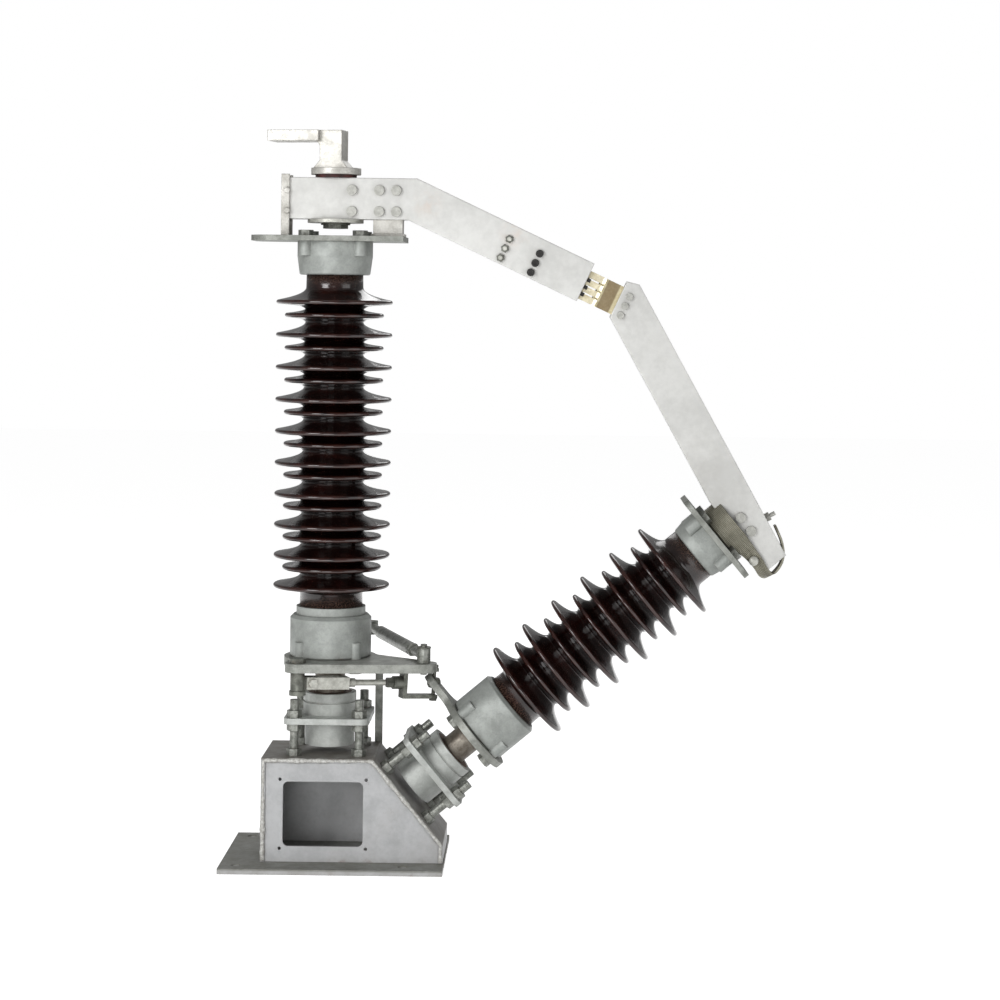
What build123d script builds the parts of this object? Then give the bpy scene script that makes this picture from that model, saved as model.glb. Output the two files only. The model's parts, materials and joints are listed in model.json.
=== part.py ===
from build123d import *
from math import atan2, cos, hypot, radians, sin, tan
import os

# Single-pole centre-break disconnect switch with two turning insulators set in a V.
# One insulator stands upright, the other leans to +X. Millimetres, +Z up,
# origin on the upright insulator's axis at the underside of the base plate.

# The V: both insulator axes lie in the plane Y = 0 and meet low in the housing.
lean_deg = 50.0
axes_meet_height = 8.0
sheet_gap = 0.05
running_gap = 0.05

# Base plate and housing
base_length = 402.0
base_width = 300.0
base_thickness = 10.0
base_centre_x = 16.0
anchor_spacing_x = 300.0
anchor_spacing_y = 240.0
anchor_centre_x = -5.0
anchor_hole_radius = 9.0
housing_left_x = -115.0
housing_right_x = 215.0
housing_top_height = 197.0
housing_depth = 182.0
housing_slope_drop = 188.4
wrap_thickness = 8.0
wrap_bend_radius = 12.0
wrap_inner_bend_min = 3.0
face_plate_thickness = 6.0
face_plate_recess = 2.0
window_width = 145.0
window_height = 117.0
window_centre_x = -2.5
window_centre_z = 96.5
window_corner_radius = 10.0
cover_screw_radius = 3.0
cover_screw_spacing_x = 156.0
cover_screw_spacing_z = 125.0

# Rear stop bar
stop_bar_x = 84.0
stop_bar_width = 14.0
stop_bar_thickness = 6.0
stop_bar_under_lever = 10.0
stop_bar_foot = 120.0

# Bearings, measured up from the face that carries them
bearing_floor = 13.0
bearing_lower_radius = 45.5
bearing_upper_radius = 48.5
bearing_flange_low = 58.6
bearing_flange_thickness = 11.0
bearing_flange_side = 155.0
bearing_flange_corner = 14.0
bearing_flange_lap = 1.0
bearing_top = 109.0
bearing_groove_low = 91.0
bearing_groove_width = 3.0
bearing_groove_depth = 2.0
bearing_bottom_thickness = 8.0
seal_height = 5.0
seal_inner_gap = 1.0
seal_wall = 12.0
shaft_radius = 27.5
shaft_end_gap = 2.0
stud_radius = 8.0
stud_half_square = 59.0
stud_tail = 5.0
stud_top = 102.0
hole_gap = 0.75
nut_across_flats = 24.0
nut_height = 13.0

# Lever plates; each rise is measured from the face under the bearing
left_lever_rise = 159.0
left_lever_thickness = 16.0
left_hub_radius = 85.0
left_waist_radius = 62.0
right_lever_rise = 153.3
right_lever_thickness = 13.0
right_hub_radius = 76.0
lever_waist_radius = 30.0
lever_waist_fillet = 30.0
hub_match = 0.01
insulator_bolt_circle = 70.0
insulator_bolt_radius = 8.0
right_bolt_inset = 2.0
drive_pin_x = 176.6
drive_pin_y = -85.0
drive_end_radius = 24.0
swivel_x = -49.7
swivel_y = -101.7
swivel_lobe_radius = 23.0
right_eye_across = -118.0
right_eye_forward = 6.6
right_eye_end_radius = 19.0

# Bottom fittings, porcelains and top caps
left_fitting_radius = 74.5
left_fitting_height = 77.0
right_fitting_radius = 64.75
right_fitting_height = 83.5
fitting_chamfer = 3.0
fitting_shoulder = 6.0
fitting_boss_radius = 11.0
fitting_boss_height = 30.0
collar_radius_gap = 11.0
collar_height = 15.0
left_cap_height = 61.3
left_cap_radius = 69.3
left_cap_low_radius = 65.0
right_cap_height = 45.6
right_cap_radius = 57.0
right_cap_low_radius = 54.0
right_cap_bolt_out = 3.0
cap_chamfer = 2.0
cap_lug_radius = 12.0
cap_lug_height = 27.0
left_porcelain_length = 608.7
left_neck_radius = 52.0
left_root_radius = 58.0
left_shed_radius = 106.8
left_small_shed_radius = 91.0
left_shed_count = 10
left_top_shed_drop = 50.1
left_low_shed_rise = 38.0
left_pitch_loss = 0.0106
left_small_share = 0.404
right_porcelain_length = 431.5
right_neck_radius = 52.0
right_root_radius = 54.0
right_shed_radius = 97.0
right_small_shed_radius = 80.2
right_shed_count = 6
right_top_shed_drop = 49.9
right_low_shed_rise = 36.1
right_small_share = 0.54
shed_rim = 7.0
shed_rim_back = 5.0
shed_rim_round = 3.0
shed_slope = 0.30
shed_break_share = 0.3
shed_break_rise = 0.6
shed_root_rise = 8.0
shed_root_inset = 4.0

# Bolts through lever plates and top plates
flange_bolt_head = 10.0
lower_bolt_grip = 20.0
upper_bolt_grip = 18.0
bolt_hole_extra = 2.0

# Top plates
top_plate_thickness = 10.0
left_top_plate_left = -150.7
left_top_plate_right = 130.0
top_plate_width = 150.0
top_plate_corner = 40.0
right_top_plate_half = 88.5

# Arms: rectangular aluminium tube. The bend is where the left arm's middle line turns down.
arm_height = 76.3
arm_width = 50.0
arm_wall = 5.0
left_arm_rise = 31.0
left_arm_start = -92.0
left_bend_x = 142.8
arm_end_gap = 27.7
right_arm_start_gap = 40.0
right_mouth_height = 72.8
right_mouth_top_deg = 13.5
right_foot_rise = 28.0
right_foot_inner = -52.0
right_foot_outer = 108.0
end_bracket_leg = 15.0
end_bracket_wall = 5.0
end_bracket_gap = 0.5
end_bracket_above_arm = 5.7
post_left = 70.8
post_right = 125.0
post_wall = 5.0
post_foot_thickness = 5.0
post_foot_reach = 4.0

# Bolts through the arms: level tube, contact roots and right foot
arm_bolt_columns = (31.5, 81.6, 113.1)
arm_bolt_rows = (14.5, 53.5)
arm_bolt_radius = 5.0
arm_bolt_head_radius = 9.5
arm_bolt_head_height = 6.0
contact_bolt_rows = (-188.0, -126.4)
blade_bolt_row = 56.0
contact_bolt_centre = -8.0
contact_bolt_pitch = 19.0
contact_bolt_radius = 4.0
contact_bolt_head_radius = 7.0
foot_bolt_points = ((1.8, 26.2), (32.6, 25.4))
bracket_bolt_rows = (15.0, 52.0)
bracket_bolt_radius = 3.0
bracket_bolt_head_radius = 5.5
foot_stud_across = 34.0
foot_stud_length = 20.0
foot_stud_nut_height = 9.0
foot_stud_nut_across_flats = 15.0

# Contact
contact_drop = 4.5
blade_thickness = 10.0
blade_height = 56.0
blade_root = 74.0
blade_root_start = 43.0
finger_thickness = 6.0
finger_gap = 0.4
finger_reach = 6.0
finger_flare = 2.2
finger_count = 4
finger_slot = 3.0
finger_slot_length = 30.0
finger_root = 205.0
finger_pad_end = 108.0

# Terminal on the left arm, turned a little on its stud
terminal_yaw_deg = -12.0
terminal_pad_left = -124.0
terminal_pad_thickness = 20.0
terminal_pad_width = 60.0
terminal_height = 87.7
terminal_column_left = -26.0
terminal_column_right = 16.0
terminal_column_width = 40.0
terminal_elbow_radius = 12.0
terminal_flare_reach = 12.0
terminal_flare_height = 14.0
terminal_flange_radius = 46.0
terminal_flange_thickness = 12.0
terminal_stud_radius = 15.0
gasket_thickness = 6.0
gasket_radius = 38.0
gasket_gap = 0.3
thrust_washer_radius = 51.5
thrust_washer_thickness = 7.0
terminal_nut_radius = 20.0
terminal_nut_height = 10.0
terminal_nut_washer_radius = 27.0
terminal_nut_washer_thickness = 3.2
terminal_hole_radius = 6.5
terminal_hole_centre_x = -78.0
terminal_hole_spacing = 32.0

# Braid: coil on the hub and strap round the arm's end
braid_inner_radius = 26.0
braid_outer_radius = 45.0
braid_end_gap = 1.0
hub_radius = 25.0
hub_block_left = -20.0
hub_block_right = 50.0
hub_block_height = 38.0
strap_thickness = 5.0
strap_width = 30.0
strap_below_foot = 8.0
strap_start = -10.0
strap_leave = 10.0
strap_swing_across = 60.0
strap_swing_forward = 39.0
strap_meet_arm = 104.0
strap_back_end = 60.0

# Cross link: swivel pin, block and fork at the left lever, rod, then nut, clevis and ball
cross_link_drop = 21.0
swivel_pin_radius = 9.0
swivel_pin_head_radius = 15.0
swivel_pin_head_height = 8.0
swivel_block_radius = 13.0
swivel_block_height = 26.0
swivel_block_gap = 0.3
swivel_reach = 25.0
tongue_thickness = 16.0
fork_bolt_radius = 5.0
fork_bolt_head_radius = 8.5
fork_bolt_head_height = 5.0
fork_side_gap = 0.3
fork_cheek = 5.0
fork_height = 22.0
fork_back = 11.0
fork_length = 70.0
fork_web = 14.0
fork_collar_radius = 8.0
fork_collar_length = 14.0
rod_radius = 5.5
rod_end_gap = 3.5
link_nut_across_flats = 17.0
link_nut_length = 12.0
clevis_neck_radius = 12.0
clevis_neck_length = 17.0
clevis_root_length = 8.0
clevis_mouth_depth = 56.0
clevis_nose = 4.0
clevis_gap = 43.0
clevis_tine = 6.5
clevis_width = 24.0
eye_ball_radius = 13.0
eye_ball_land = 9.0
eye_bolt_radius = 3.5
eye_bolt_head_radius = 7.5
eye_bolt_head_height = 5.0

# Drive link
drive_link_length = 390.0
drive_link_heading_deg = 108.2
drive_eye_radius = 12.2
drive_eye_height = 26.0
drive_eye_gap = 0.3
drive_shank_start = 4.0
drive_shank_root_radius = 9.0
drive_shank_end_radius = 8.0
drive_shank_reach = 70.0
drive_nut_across_flats = 22.0
drive_nut_length = 12.0
drive_pin_radius = 6.0
drive_pin_below = 5.0
drive_pin_above = 8.0
drive_tube_radius = 12.0

os.makedirs("parts", exist_ok=True)


def save(piece, label):
    """Label a finished piece and write it to its own file."""
    piece.part.label = label
    export_step(piece.part, f"parts/{label}.step")


# Heights of the upright stack and, along the leaning axis, of the leaning stack
left_lever_low = housing_top_height + left_lever_rise
left_fitting_low = left_lever_low + left_lever_thickness
left_fitting_top = left_fitting_low + left_fitting_height
left_porcelain_low = left_fitting_top + collar_height
left_cap_low = left_porcelain_low + left_porcelain_length
left_cap_top = left_cap_low + left_cap_height
left_plate_top = left_cap_top + top_plate_thickness
left_arm_low = left_plate_top + left_arm_rise
left_arm_middle = left_arm_low + arm_height / 2
left_arm_top = left_arm_low + arm_height
right_lever_low = housing_slope_drop + right_lever_rise
right_fitting_low = right_lever_low + right_lever_thickness
right_fitting_top = right_fitting_low + right_fitting_height
right_cap_low = right_fitting_top + right_porcelain_length
right_cap_top = right_cap_low + right_cap_height
right_plate_top = right_cap_top + top_plate_thickness
foot_low = right_plate_top + right_foot_rise

# Frames: upright is the left axis, leaning the right one, where local x points
# down the slope and local z up the leaning insulator.
lean = radians(lean_deg)
apex = Vector(0, 0, axes_meet_height)
upright = Plane.XY
leaning = Plane(
    origin=apex, x_dir=(cos(lean), 0, -sin(lean)), z_dir=(sin(lean), 0, cos(lean))
)
left_face = upright.offset(housing_top_height)
right_face = leaning.offset(housing_slope_drop)


def profile_plane(frame):
    """The plane of a revolved outline: x is the radius, y the height along the axis."""
    return Plane(origin=frame.origin, x_dir=frame.x_dir, z_dir=-frame.y_dir)


def axis_of(frame):
    """The turning axis of a frame."""
    return Axis(frame.origin, frame.z_dir)


def ring_points(radius, count, start_deg):
    """Evenly spaced points on a circle."""
    turns = [radians(start_deg + 360 * step / count) for step in range(count)]
    return [(radius * cos(turn), radius * sin(turn)) for turn in turns]


def turned_ring(frame, inner, outer, low, high):
    """A plain ring or disc about a frame's axis."""
    with BuildPart() as ring:
        with BuildSketch(frame.offset(low)):
            Circle(outer)
            if inner > 0:
                Circle(inner, mode=Mode.SUBTRACT)
        extrude(amount=high - low)
    return ring


def hex_nut(frame, points, low, across_flats, bore, height):
    """Hexagon nuts at several points of a frame."""
    with BuildPart() as nuts:
        with BuildSketch(frame.offset(low)):
            with Locations(points):
                RegularPolygon(across_flats / 2, 6, major_radius=False)
                Circle(bore, mode=Mode.SUBTRACT)
        extrude(amount=height)
    return nuts


# Base plate
with BuildPart() as base_plate:
    with BuildSketch(Plane.XY):
        with Locations((base_centre_x, 0)):
            Rectangle(base_length, base_width)
        with Locations((anchor_centre_x, 0)):
            with GridLocations(anchor_spacing_x, anchor_spacing_y, 2, 2):
                Circle(anchor_hole_radius, mode=Mode.SUBTRACT)
    extrude(amount=base_thickness)
save(base_plate, "base_plate")

# Housing: a folded plate over left end, top, slope and right end, closed by two faces.
stud_points = [
    (x * stud_half_square, y * stud_half_square) for x in (-1, 1) for y in (-1, 1)
]


def housing_section(inset):
    """The housing's end-on outline, set in from the outside by a wall."""
    top = housing_top_height - inset
    right = housing_right_x - inset
    slope = housing_slope_drop - inset
    slope_top_x = (slope - (top - axes_meet_height) * cos(lean)) / sin(lean)
    slope_foot_z = axes_meet_height + (slope - right * sin(lean)) / cos(lean)
    with BuildSketch(Plane.XZ, mode=Mode.PRIVATE) as section:
        with BuildLine():
            Polyline(
                (housing_left_x + inset, base_thickness),
                (housing_left_x + inset, top),
                (slope_top_x, top),
                (right, slope_foot_z),
                (right, base_thickness),
                close=True,
            )
        make_face()
        bends = section.vertices().filter_by(lambda v: v.Z > base_thickness + sheet_gap)
        fillet(bends, max(wrap_bend_radius - inset, wrap_inner_bend_min))
    return section.sketch


with BuildPart() as housing_wrap:
    with BuildSketch(Plane.XZ.offset(-housing_depth / 2)):
        add(housing_section(0))
        add(housing_section(wrap_thickness), mode=Mode.SUBTRACT)
    extrude(amount=housing_depth)
    for face in (left_face, right_face):
        with BuildSketch(face.offset(-2 * wrap_thickness)):
            with Locations(stud_points):
                Circle(stud_radius + hole_gap)
        extrude(amount=3 * wrap_thickness, mode=Mode.SUBTRACT)
save(housing_wrap, "housing_wrap")

face_outer_y = housing_depth / 2 - face_plate_recess
screw_corners = [
    (x * cover_screw_spacing_x / 2, z * cover_screw_spacing_z / 2)
    for x in (-1, 1)
    for z in (-1, 1)
]
with BuildPart() as housing_front:
    with BuildSketch(Plane.XZ.offset(face_outer_y - face_plate_thickness)):
        add(housing_section(wrap_thickness + sheet_gap))
        with Locations((window_centre_x, window_centre_z)):
            RectangleRounded(window_width, window_height, window_corner_radius, mode=Mode.SUBTRACT)
            with Locations(screw_corners):
                Circle(cover_screw_radius, mode=Mode.SUBTRACT)
    extrude(amount=face_plate_thickness)
save(housing_front, "housing_front")

with BuildPart() as housing_back:
    with BuildSketch(Plane.XZ.offset(-face_outer_y)):
        add(housing_section(wrap_thickness + sheet_gap))
    extrude(amount=face_plate_thickness)
save(housing_back, "housing_back")

# Rear stop bar, fastened to the housing's back edge
stop_bar_top = left_lever_low - stop_bar_under_lever
with BuildPart() as stop_bar:
    with BuildSketch(Plane.XZ.offset(-housing_depth / 2 - stop_bar_thickness)):
        with Locations((stop_bar_x, (stop_bar_foot + stop_bar_top) / 2)):
            Rectangle(stop_bar_width, stop_bar_top - stop_bar_foot)
    extrude(amount=stop_bar_thickness)
save(stop_bar, "stop_bar")


def bearing_housing(frame):
    """A flanged bearing housing that stands on four studs above its face."""
    with BuildPart() as body:
        with BuildSketch(profile_plane(frame)):
            with BuildLine():
                Polyline(
                    (0, bearing_floor),
                    (bearing_lower_radius, bearing_floor),
                    (bearing_lower_radius, bearing_flange_low),
                    (bearing_upper_radius, bearing_flange_low),
                    (bearing_upper_radius, bearing_groove_low),
                    (bearing_upper_radius - bearing_groove_depth, bearing_groove_low),
                    (
                        bearing_upper_radius - bearing_groove_depth,
                        bearing_groove_low + bearing_groove_width,
                    ),
                    (bearing_upper_radius, bearing_groove_low + bearing_groove_width),
                    (bearing_upper_radius, bearing_top),
                    (shaft_radius + seal_inner_gap + seal_wall, bearing_top),
                    (shaft_radius + seal_inner_gap + seal_wall, bearing_top - seal_height),
                    (shaft_radius + running_gap, bearing_top - seal_height),
                    (shaft_radius + running_gap, bearing_floor + bearing_bottom_thickness),
                    (0, bearing_floor + bearing_bottom_thickness),
                    close=True,
                )
            make_face()
        revolve(axis=axis_of(frame))
        with BuildSketch(frame.offset(bearing_flange_low)):
            RectangleRounded(bearing_flange_side, bearing_flange_side, bearing_flange_corner)
            Circle(bearing_lower_radius - bearing_flange_lap, mode=Mode.SUBTRACT)
            with Locations(stud_points):
                Circle(stud_radius + hole_gap, mode=Mode.SUBTRACT)
        extrude(amount=bearing_flange_thickness)
    return body


nut_levels = [
    -wrap_thickness - nut_height,
    0.0,
    bearing_flange_low - nut_height,
    bearing_flange_low + bearing_flange_thickness,
]
stud_low = -wrap_thickness - nut_height - stud_tail
for side, frame in (("left", left_face), ("right", right_face)):
    save(bearing_housing(frame), f"{side}_bearing_housing")
    ring = turned_ring(
        frame,
        shaft_radius + seal_inner_gap,
        shaft_radius + seal_inner_gap + seal_wall,
        bearing_top - seal_height,
        bearing_top,
    )
    save(ring, f"{side}_bearing_seal")
    with BuildPart() as studs:
        with BuildSketch(frame.offset(stud_low)):
            with Locations(stud_points):
                Circle(stud_radius)
        extrude(amount=stud_top - stud_low)
    save(studs, f"{side}_bearing_studs")
    with BuildPart() as nuts:
        for level in nut_levels:
            add(
                hex_nut(
                    frame, stud_points, level, nut_across_flats, stud_radius, nut_height
                ).part
            )
    save(nuts, f"{side}_bearing_nuts")

# Shafts
shaft_low = bearing_floor + bearing_bottom_thickness + shaft_end_gap
save(
    turned_ring(left_face, 0, shaft_radius, shaft_low, left_lever_low - housing_top_height),
    "left_shaft",
)
save(
    turned_ring(right_face, 0, shaft_radius, shaft_low, right_lever_low - housing_slope_drop),
    "right_shaft",
)

# Lever plates
insulator_bolt_points = ring_points(insulator_bolt_circle, 4, 45)
right_bolt_points = ring_points(right_fitting_radius - right_bolt_inset, 4, 45)


def lever_outline(hub, arms):
    """A round hub with waisted arms, each given as (end point, end radius, waist radius)."""
    with BuildSketch(mode=Mode.PRIVATE) as outline:
        for end, end_radius, waist in arms:
            with BuildLine():
                CenterArc((0, 0), waist, 0, 360)
                CenterArc(end, end_radius, 0, 360)
            make_hull()
        Circle(hub)
        waists = [
            vertex
            for vertex in outline.vertices()
            if abs(hypot(vertex.X, vertex.Y) - hub) < hub_match
        ]
        fillet(waists, lever_waist_fillet)
    return outline.sketch


with BuildPart() as left_lever:
    with BuildSketch(upright.offset(left_lever_low)) as outline:
        add(
            lever_outline(
                left_hub_radius,
                (
                    ((drive_pin_x, drive_pin_y), drive_end_radius, left_waist_radius),
                    ((swivel_x, swivel_y), swivel_lobe_radius, lever_waist_radius),
                ),
            )
        )
        with Locations(insulator_bolt_points):
            Circle(insulator_bolt_radius + hole_gap, mode=Mode.SUBTRACT)
        with Locations((drive_pin_x, drive_pin_y)):
            Circle(drive_pin_radius, mode=Mode.SUBTRACT)
        with Locations((swivel_x, swivel_y)):
            Circle(swivel_pin_radius, mode=Mode.SUBTRACT)
    extrude(amount=left_lever_thickness)
save(left_lever, "left_lever")

with BuildPart() as right_lever:
    with BuildSketch(leaning.offset(right_lever_low)):
        eye_arm = ((right_eye_across, right_eye_forward), right_eye_end_radius, lever_waist_radius)
        add(lever_outline(right_hub_radius, (eye_arm,)))
        with Locations(right_bolt_points):
            Circle(insulator_bolt_radius + hole_gap, mode=Mode.SUBTRACT)
        with Locations((right_eye_across, right_eye_forward)):
            Circle(eye_ball_radius + running_gap, mode=Mode.SUBTRACT)
    extrude(amount=right_lever_thickness)
save(right_lever, "right_lever")


# Insulators: cast bottom fitting, cement collar, porcelain with sheds, cast cap
def fitting(frame, low, height, radius, bolts):
    """A cast bottom fitting with four bolt bosses and a stepped collar."""
    with BuildPart() as casting:
        with BuildSketch(profile_plane(frame)):
            with BuildLine():
                Polyline(
                    (0, low),
                    (radius - fitting_chamfer, low),
                    (radius, low + fitting_chamfer),
                    (radius, low + height - fitting_shoulder),
                    (radius - fitting_shoulder, low + height),
                    (0, low + height),
                    close=True,
                )
            make_face()
        revolve(axis=axis_of(frame))
        with BuildSketch(frame.offset(low)):
            with Locations(bolts):
                Circle(fitting_boss_radius)
        extrude(amount=fitting_boss_height)
        with BuildSketch(frame.offset(low)):
            with Locations(bolts):
                Circle(insulator_bolt_radius)
        extrude(amount=lower_bolt_grip + bolt_hole_extra, mode=Mode.SUBTRACT)
    return casting


def cap(frame, low, top, low_radius, top_radius, bolts):
    """A cast top cap, a little wider at the top, with four bolt lugs."""
    with BuildPart() as casting:
        with BuildSketch(profile_plane(frame)):
            with BuildLine():
                Polyline(
                    (0, low),
                    (low_radius - cap_chamfer, low),
                    (low_radius, low + cap_chamfer),
                    (top_radius, top - cap_lug_height),
                    (top_radius, top),
                    (0, top),
                    close=True,
                )
            make_face()
        revolve(axis=axis_of(frame))
        with BuildSketch(frame.offset(top - cap_lug_height)):
            with Locations(bolts):
                Circle(cap_lug_radius)
        extrude(amount=cap_lug_height)
        with BuildSketch(frame.offset(top - upper_bolt_grip - bolt_hole_extra)):
            with Locations(bolts):
                Circle(insulator_bolt_radius)
        extrude(amount=upper_bolt_grip + bolt_hole_extra, mode=Mode.SUBTRACT)
    return casting


def porcelain(frame, low, high, root_radius, neck_radius, sheds):
    """A solid core that tapers a little, with sheds given as (rim height, radius)."""

    def core(height):
        share = (height - low) / (high - low)
        return root_radius + (neck_radius - root_radius) * share

    with BuildPart() as body:
        with BuildSketch(profile_plane(frame)):
            with BuildLine():
                Polyline(
                    (0, low), (root_radius, low), (neck_radius, high), (0, high), close=True
                )
            make_face()
            for height, radius in sheds:
                reach = radius - core(height)
                crest = height + shed_rim / 2
                with BuildLine():
                    Polyline(
                        (core(height) - shed_root_inset, height - shed_rim),
                        (radius - shed_rim_back, height - shed_rim / 2),
                        (radius, height),
                        (radius - shed_rim_round, crest),
                        (
                            core(height) + reach * shed_break_share,
                            crest + reach * shed_break_rise * shed_slope,
                        ),
                        (
                            core(height) - shed_root_inset,
                            crest + reach * shed_slope + shed_root_rise,
                        ),
                        close=True,
                    )
                make_face()
        revolve(axis=axis_of(frame))
    return body


left_collar_radius = left_fitting_radius - collar_radius_gap

# The upright sheds stand closer together lower down; the leaning ones are evenly spaced.
left_steps = left_shed_count - 1
left_run = left_porcelain_length - left_top_shed_drop - left_low_shed_rise
left_first_pitch = left_run / (left_steps - left_pitch_loss * left_steps * (left_steps - 1) / 2)
left_sheds = []
shed_height = left_cap_low - left_top_shed_drop
for step in range(left_shed_count):
    pitch = left_first_pitch * (1 - left_pitch_loss * step)
    left_sheds.append((shed_height, left_shed_radius))
    if step < left_steps:
        left_sheds.append((shed_height - pitch * left_small_share, left_small_shed_radius))
    shed_height -= pitch

right_steps = right_shed_count - 1
right_run = right_porcelain_length - right_top_shed_drop - right_low_shed_rise
right_pitch = right_run / right_steps
right_sheds = []
for step in range(right_shed_count):
    shed_height = right_fitting_top + right_low_shed_rise + right_pitch * step
    right_sheds.append((shed_height, right_shed_radius))
    if step < right_steps:
        right_sheds.append((shed_height + right_pitch * right_small_share, right_small_shed_radius))

right_cap_points = ring_points(right_cap_radius + right_cap_bolt_out, 4, 45)
save(
    fitting(
        upright, left_fitting_low, left_fitting_height, left_fitting_radius, insulator_bolt_points
    ),
    "left_bottom_fitting",
)
save(
    fitting(
        leaning, right_fitting_low, right_fitting_height, right_fitting_radius, right_bolt_points
    ),
    "right_bottom_fitting",
)
save(
    turned_ring(
        upright, 0, left_collar_radius, left_fitting_top, left_porcelain_low
    ),
    "left_bottom_collar",
)
save(
    porcelain(
        upright,
        left_porcelain_low,
        left_cap_low,
        left_root_radius,
        left_neck_radius,
        left_sheds,
    ),
    "left_porcelain",
)
save(
    porcelain(
        leaning,
        right_fitting_top,
        right_cap_low,
        right_root_radius,
        right_neck_radius,
        right_sheds,
    ),
    "right_porcelain",
)
save(
    cap(
        upright, left_cap_low, left_cap_top, left_cap_low_radius, left_cap_radius,
        insulator_bolt_points,
    ),
    "left_top_cap",
)
save(
    cap(
        leaning, right_cap_low, right_cap_top, right_cap_low_radius, right_cap_radius,
        right_cap_points,
    ),
    "right_top_cap",
)

# Bolts that hold the insulators to lever plates and top plates


def flange_bolts(frame, points, head_low, tip, head_up):
    """M16 bolts with hexagon heads, below the joint or above it."""
    with BuildPart() as bolts:
        with BuildSketch(frame.offset(min(head_low, tip))):
            with Locations(points):
                Circle(insulator_bolt_radius)
        extrude(amount=abs(tip - head_low))
        with BuildSketch(frame.offset(head_low if head_up else head_low - flange_bolt_head)):
            with Locations(points):
                RegularPolygon(nut_across_flats / 2, 6, major_radius=False)
        extrude(amount=flange_bolt_head)
    return bolts


left_lower_tip = left_fitting_low + lower_bolt_grip
right_lower_tip = right_fitting_low + lower_bolt_grip
left_upper_tip = left_cap_top - upper_bolt_grip
right_upper_tip = right_cap_top - upper_bolt_grip
save(
    flange_bolts(upright, insulator_bolt_points, left_lever_low, left_lower_tip, False),
    "left_lower_bolts",
)
save(
    flange_bolts(leaning, right_bolt_points, right_lever_low, right_lower_tip, False),
    "right_lower_bolts",
)
save(
    flange_bolts(upright, insulator_bolt_points, left_plate_top, left_upper_tip, True),
    "left_upper_bolts",
)
save(
    flange_bolts(leaning, right_cap_points, right_plate_top, right_upper_tip, True),
    "right_upper_bolts",
)

# Top plates
with BuildPart() as left_top_plate:
    with BuildSketch(upright.offset(left_cap_top)) as outline:
        with Locations(((left_top_plate_left + left_top_plate_right) / 2, 0)):
            Rectangle(left_top_plate_right - left_top_plate_left, top_plate_width)
        fillet(outline.vertices().group_by(Axis.X)[0], top_plate_corner)
        with Locations(insulator_bolt_points):
            Circle(insulator_bolt_radius + hole_gap, mode=Mode.SUBTRACT)
    extrude(amount=top_plate_thickness)
save(left_top_plate, "left_top_plate")

with BuildPart() as right_top_plate:
    with BuildSketch(leaning.offset(right_cap_top)):
        RectangleRounded(2 * right_top_plate_half, top_plate_width, top_plate_corner / 2)
        with Locations(right_cap_points):
            Circle(insulator_bolt_radius + hole_gap, mode=Mode.SUBTRACT)
    extrude(amount=top_plate_thickness)
save(right_top_plate, "right_top_plate")

# Left arm: level tube, then bent down along the contact line to the contact.
half_lean = lean / 2
contact_distance = left_bend_x * sin(half_lean) + (left_arm_middle - axes_meet_height) * cos(
    half_lean
)
contact_x = contact_distance * sin(half_lean)
contact_z = axes_meet_height + contact_distance * cos(half_lean)
contact_side = Plane(
    origin=(contact_x, 0, contact_z),
    x_dir=(cos(half_lean), 0, -sin(half_lean)),
    z_dir=(0, -1, 0),
)
contact_across = Plane(
    origin=contact_side.origin, x_dir=contact_side.x_dir, z_dir=(sin(half_lean), 0, cos(half_lean))
).offset(-contact_drop - blade_height / 2)


def along_contact(distance, offset_up):
    """A point of the X-Z plane given along and above the contact line."""
    return (
        contact_x + distance * cos(half_lean) + offset_up * sin(half_lean),
        contact_z - distance * sin(half_lean) + offset_up * cos(half_lean),
    )


def left_arm_outline(offset_up):
    """The edge line of the left arm at one distance above its middle."""
    level = left_arm_middle + offset_up
    start_x, start_z = along_contact(0, offset_up)
    bend_x = start_x - (level - start_z) / tan(half_lean)
    return [(left_arm_start, level), (bend_x, level), along_contact(-arm_end_gap, offset_up)]


def leaning_point(across, height):
    """A point of the X-Z plane given across and along the leaning axis."""
    spot = leaning.from_local_coords(Vector(across, 0, height))
    return (spot.X, spot.Z)


level_bolt_points = [
    (x, left_arm_low + rise) for x in arm_bolt_columns for rise in arm_bolt_rows
]
contact_bolt_levels = [contact_bolt_centre + contact_bolt_pitch * step for step in (-1, 0, 1)]
finger_bolt_points = [
    along_contact(row, up) for row in contact_bolt_rows for up in contact_bolt_levels
]
blade_bolt_points = [along_contact(blade_bolt_row, up) for up in contact_bolt_levels]
arm_foot_points = [leaning_point(across, foot_low + rise) for across, rise in foot_bolt_points]


def cross_holes(points, radius):
    """Round bars along Y through the arm at several points of the X-Z plane."""
    with BuildPart(mode=Mode.PRIVATE) as bars:
        with BuildSketch(Plane.XZ.offset(-arm_width)):
            with Locations(points):
                Circle(radius)
        extrude(amount=2 * arm_width)
    return bars.part


def cross_bolts(points, radius, head_radius, head_height):
    """Bolts along Y through the arm, with a round washer head on either side."""
    reach = arm_width / 2 + head_height
    with BuildPart(mode=Mode.PRIVATE) as bolts:
        with BuildSketch(Plane.XZ.offset(-reach)):
            with Locations(points):
                Circle(radius)
        extrude(amount=2 * reach)
        for start in (-reach, arm_width / 2):
            with BuildSketch(Plane.XZ.offset(start)):
                with Locations(points):
                    Circle(head_radius)
            extrude(amount=head_height)
    return bolts.part


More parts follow.
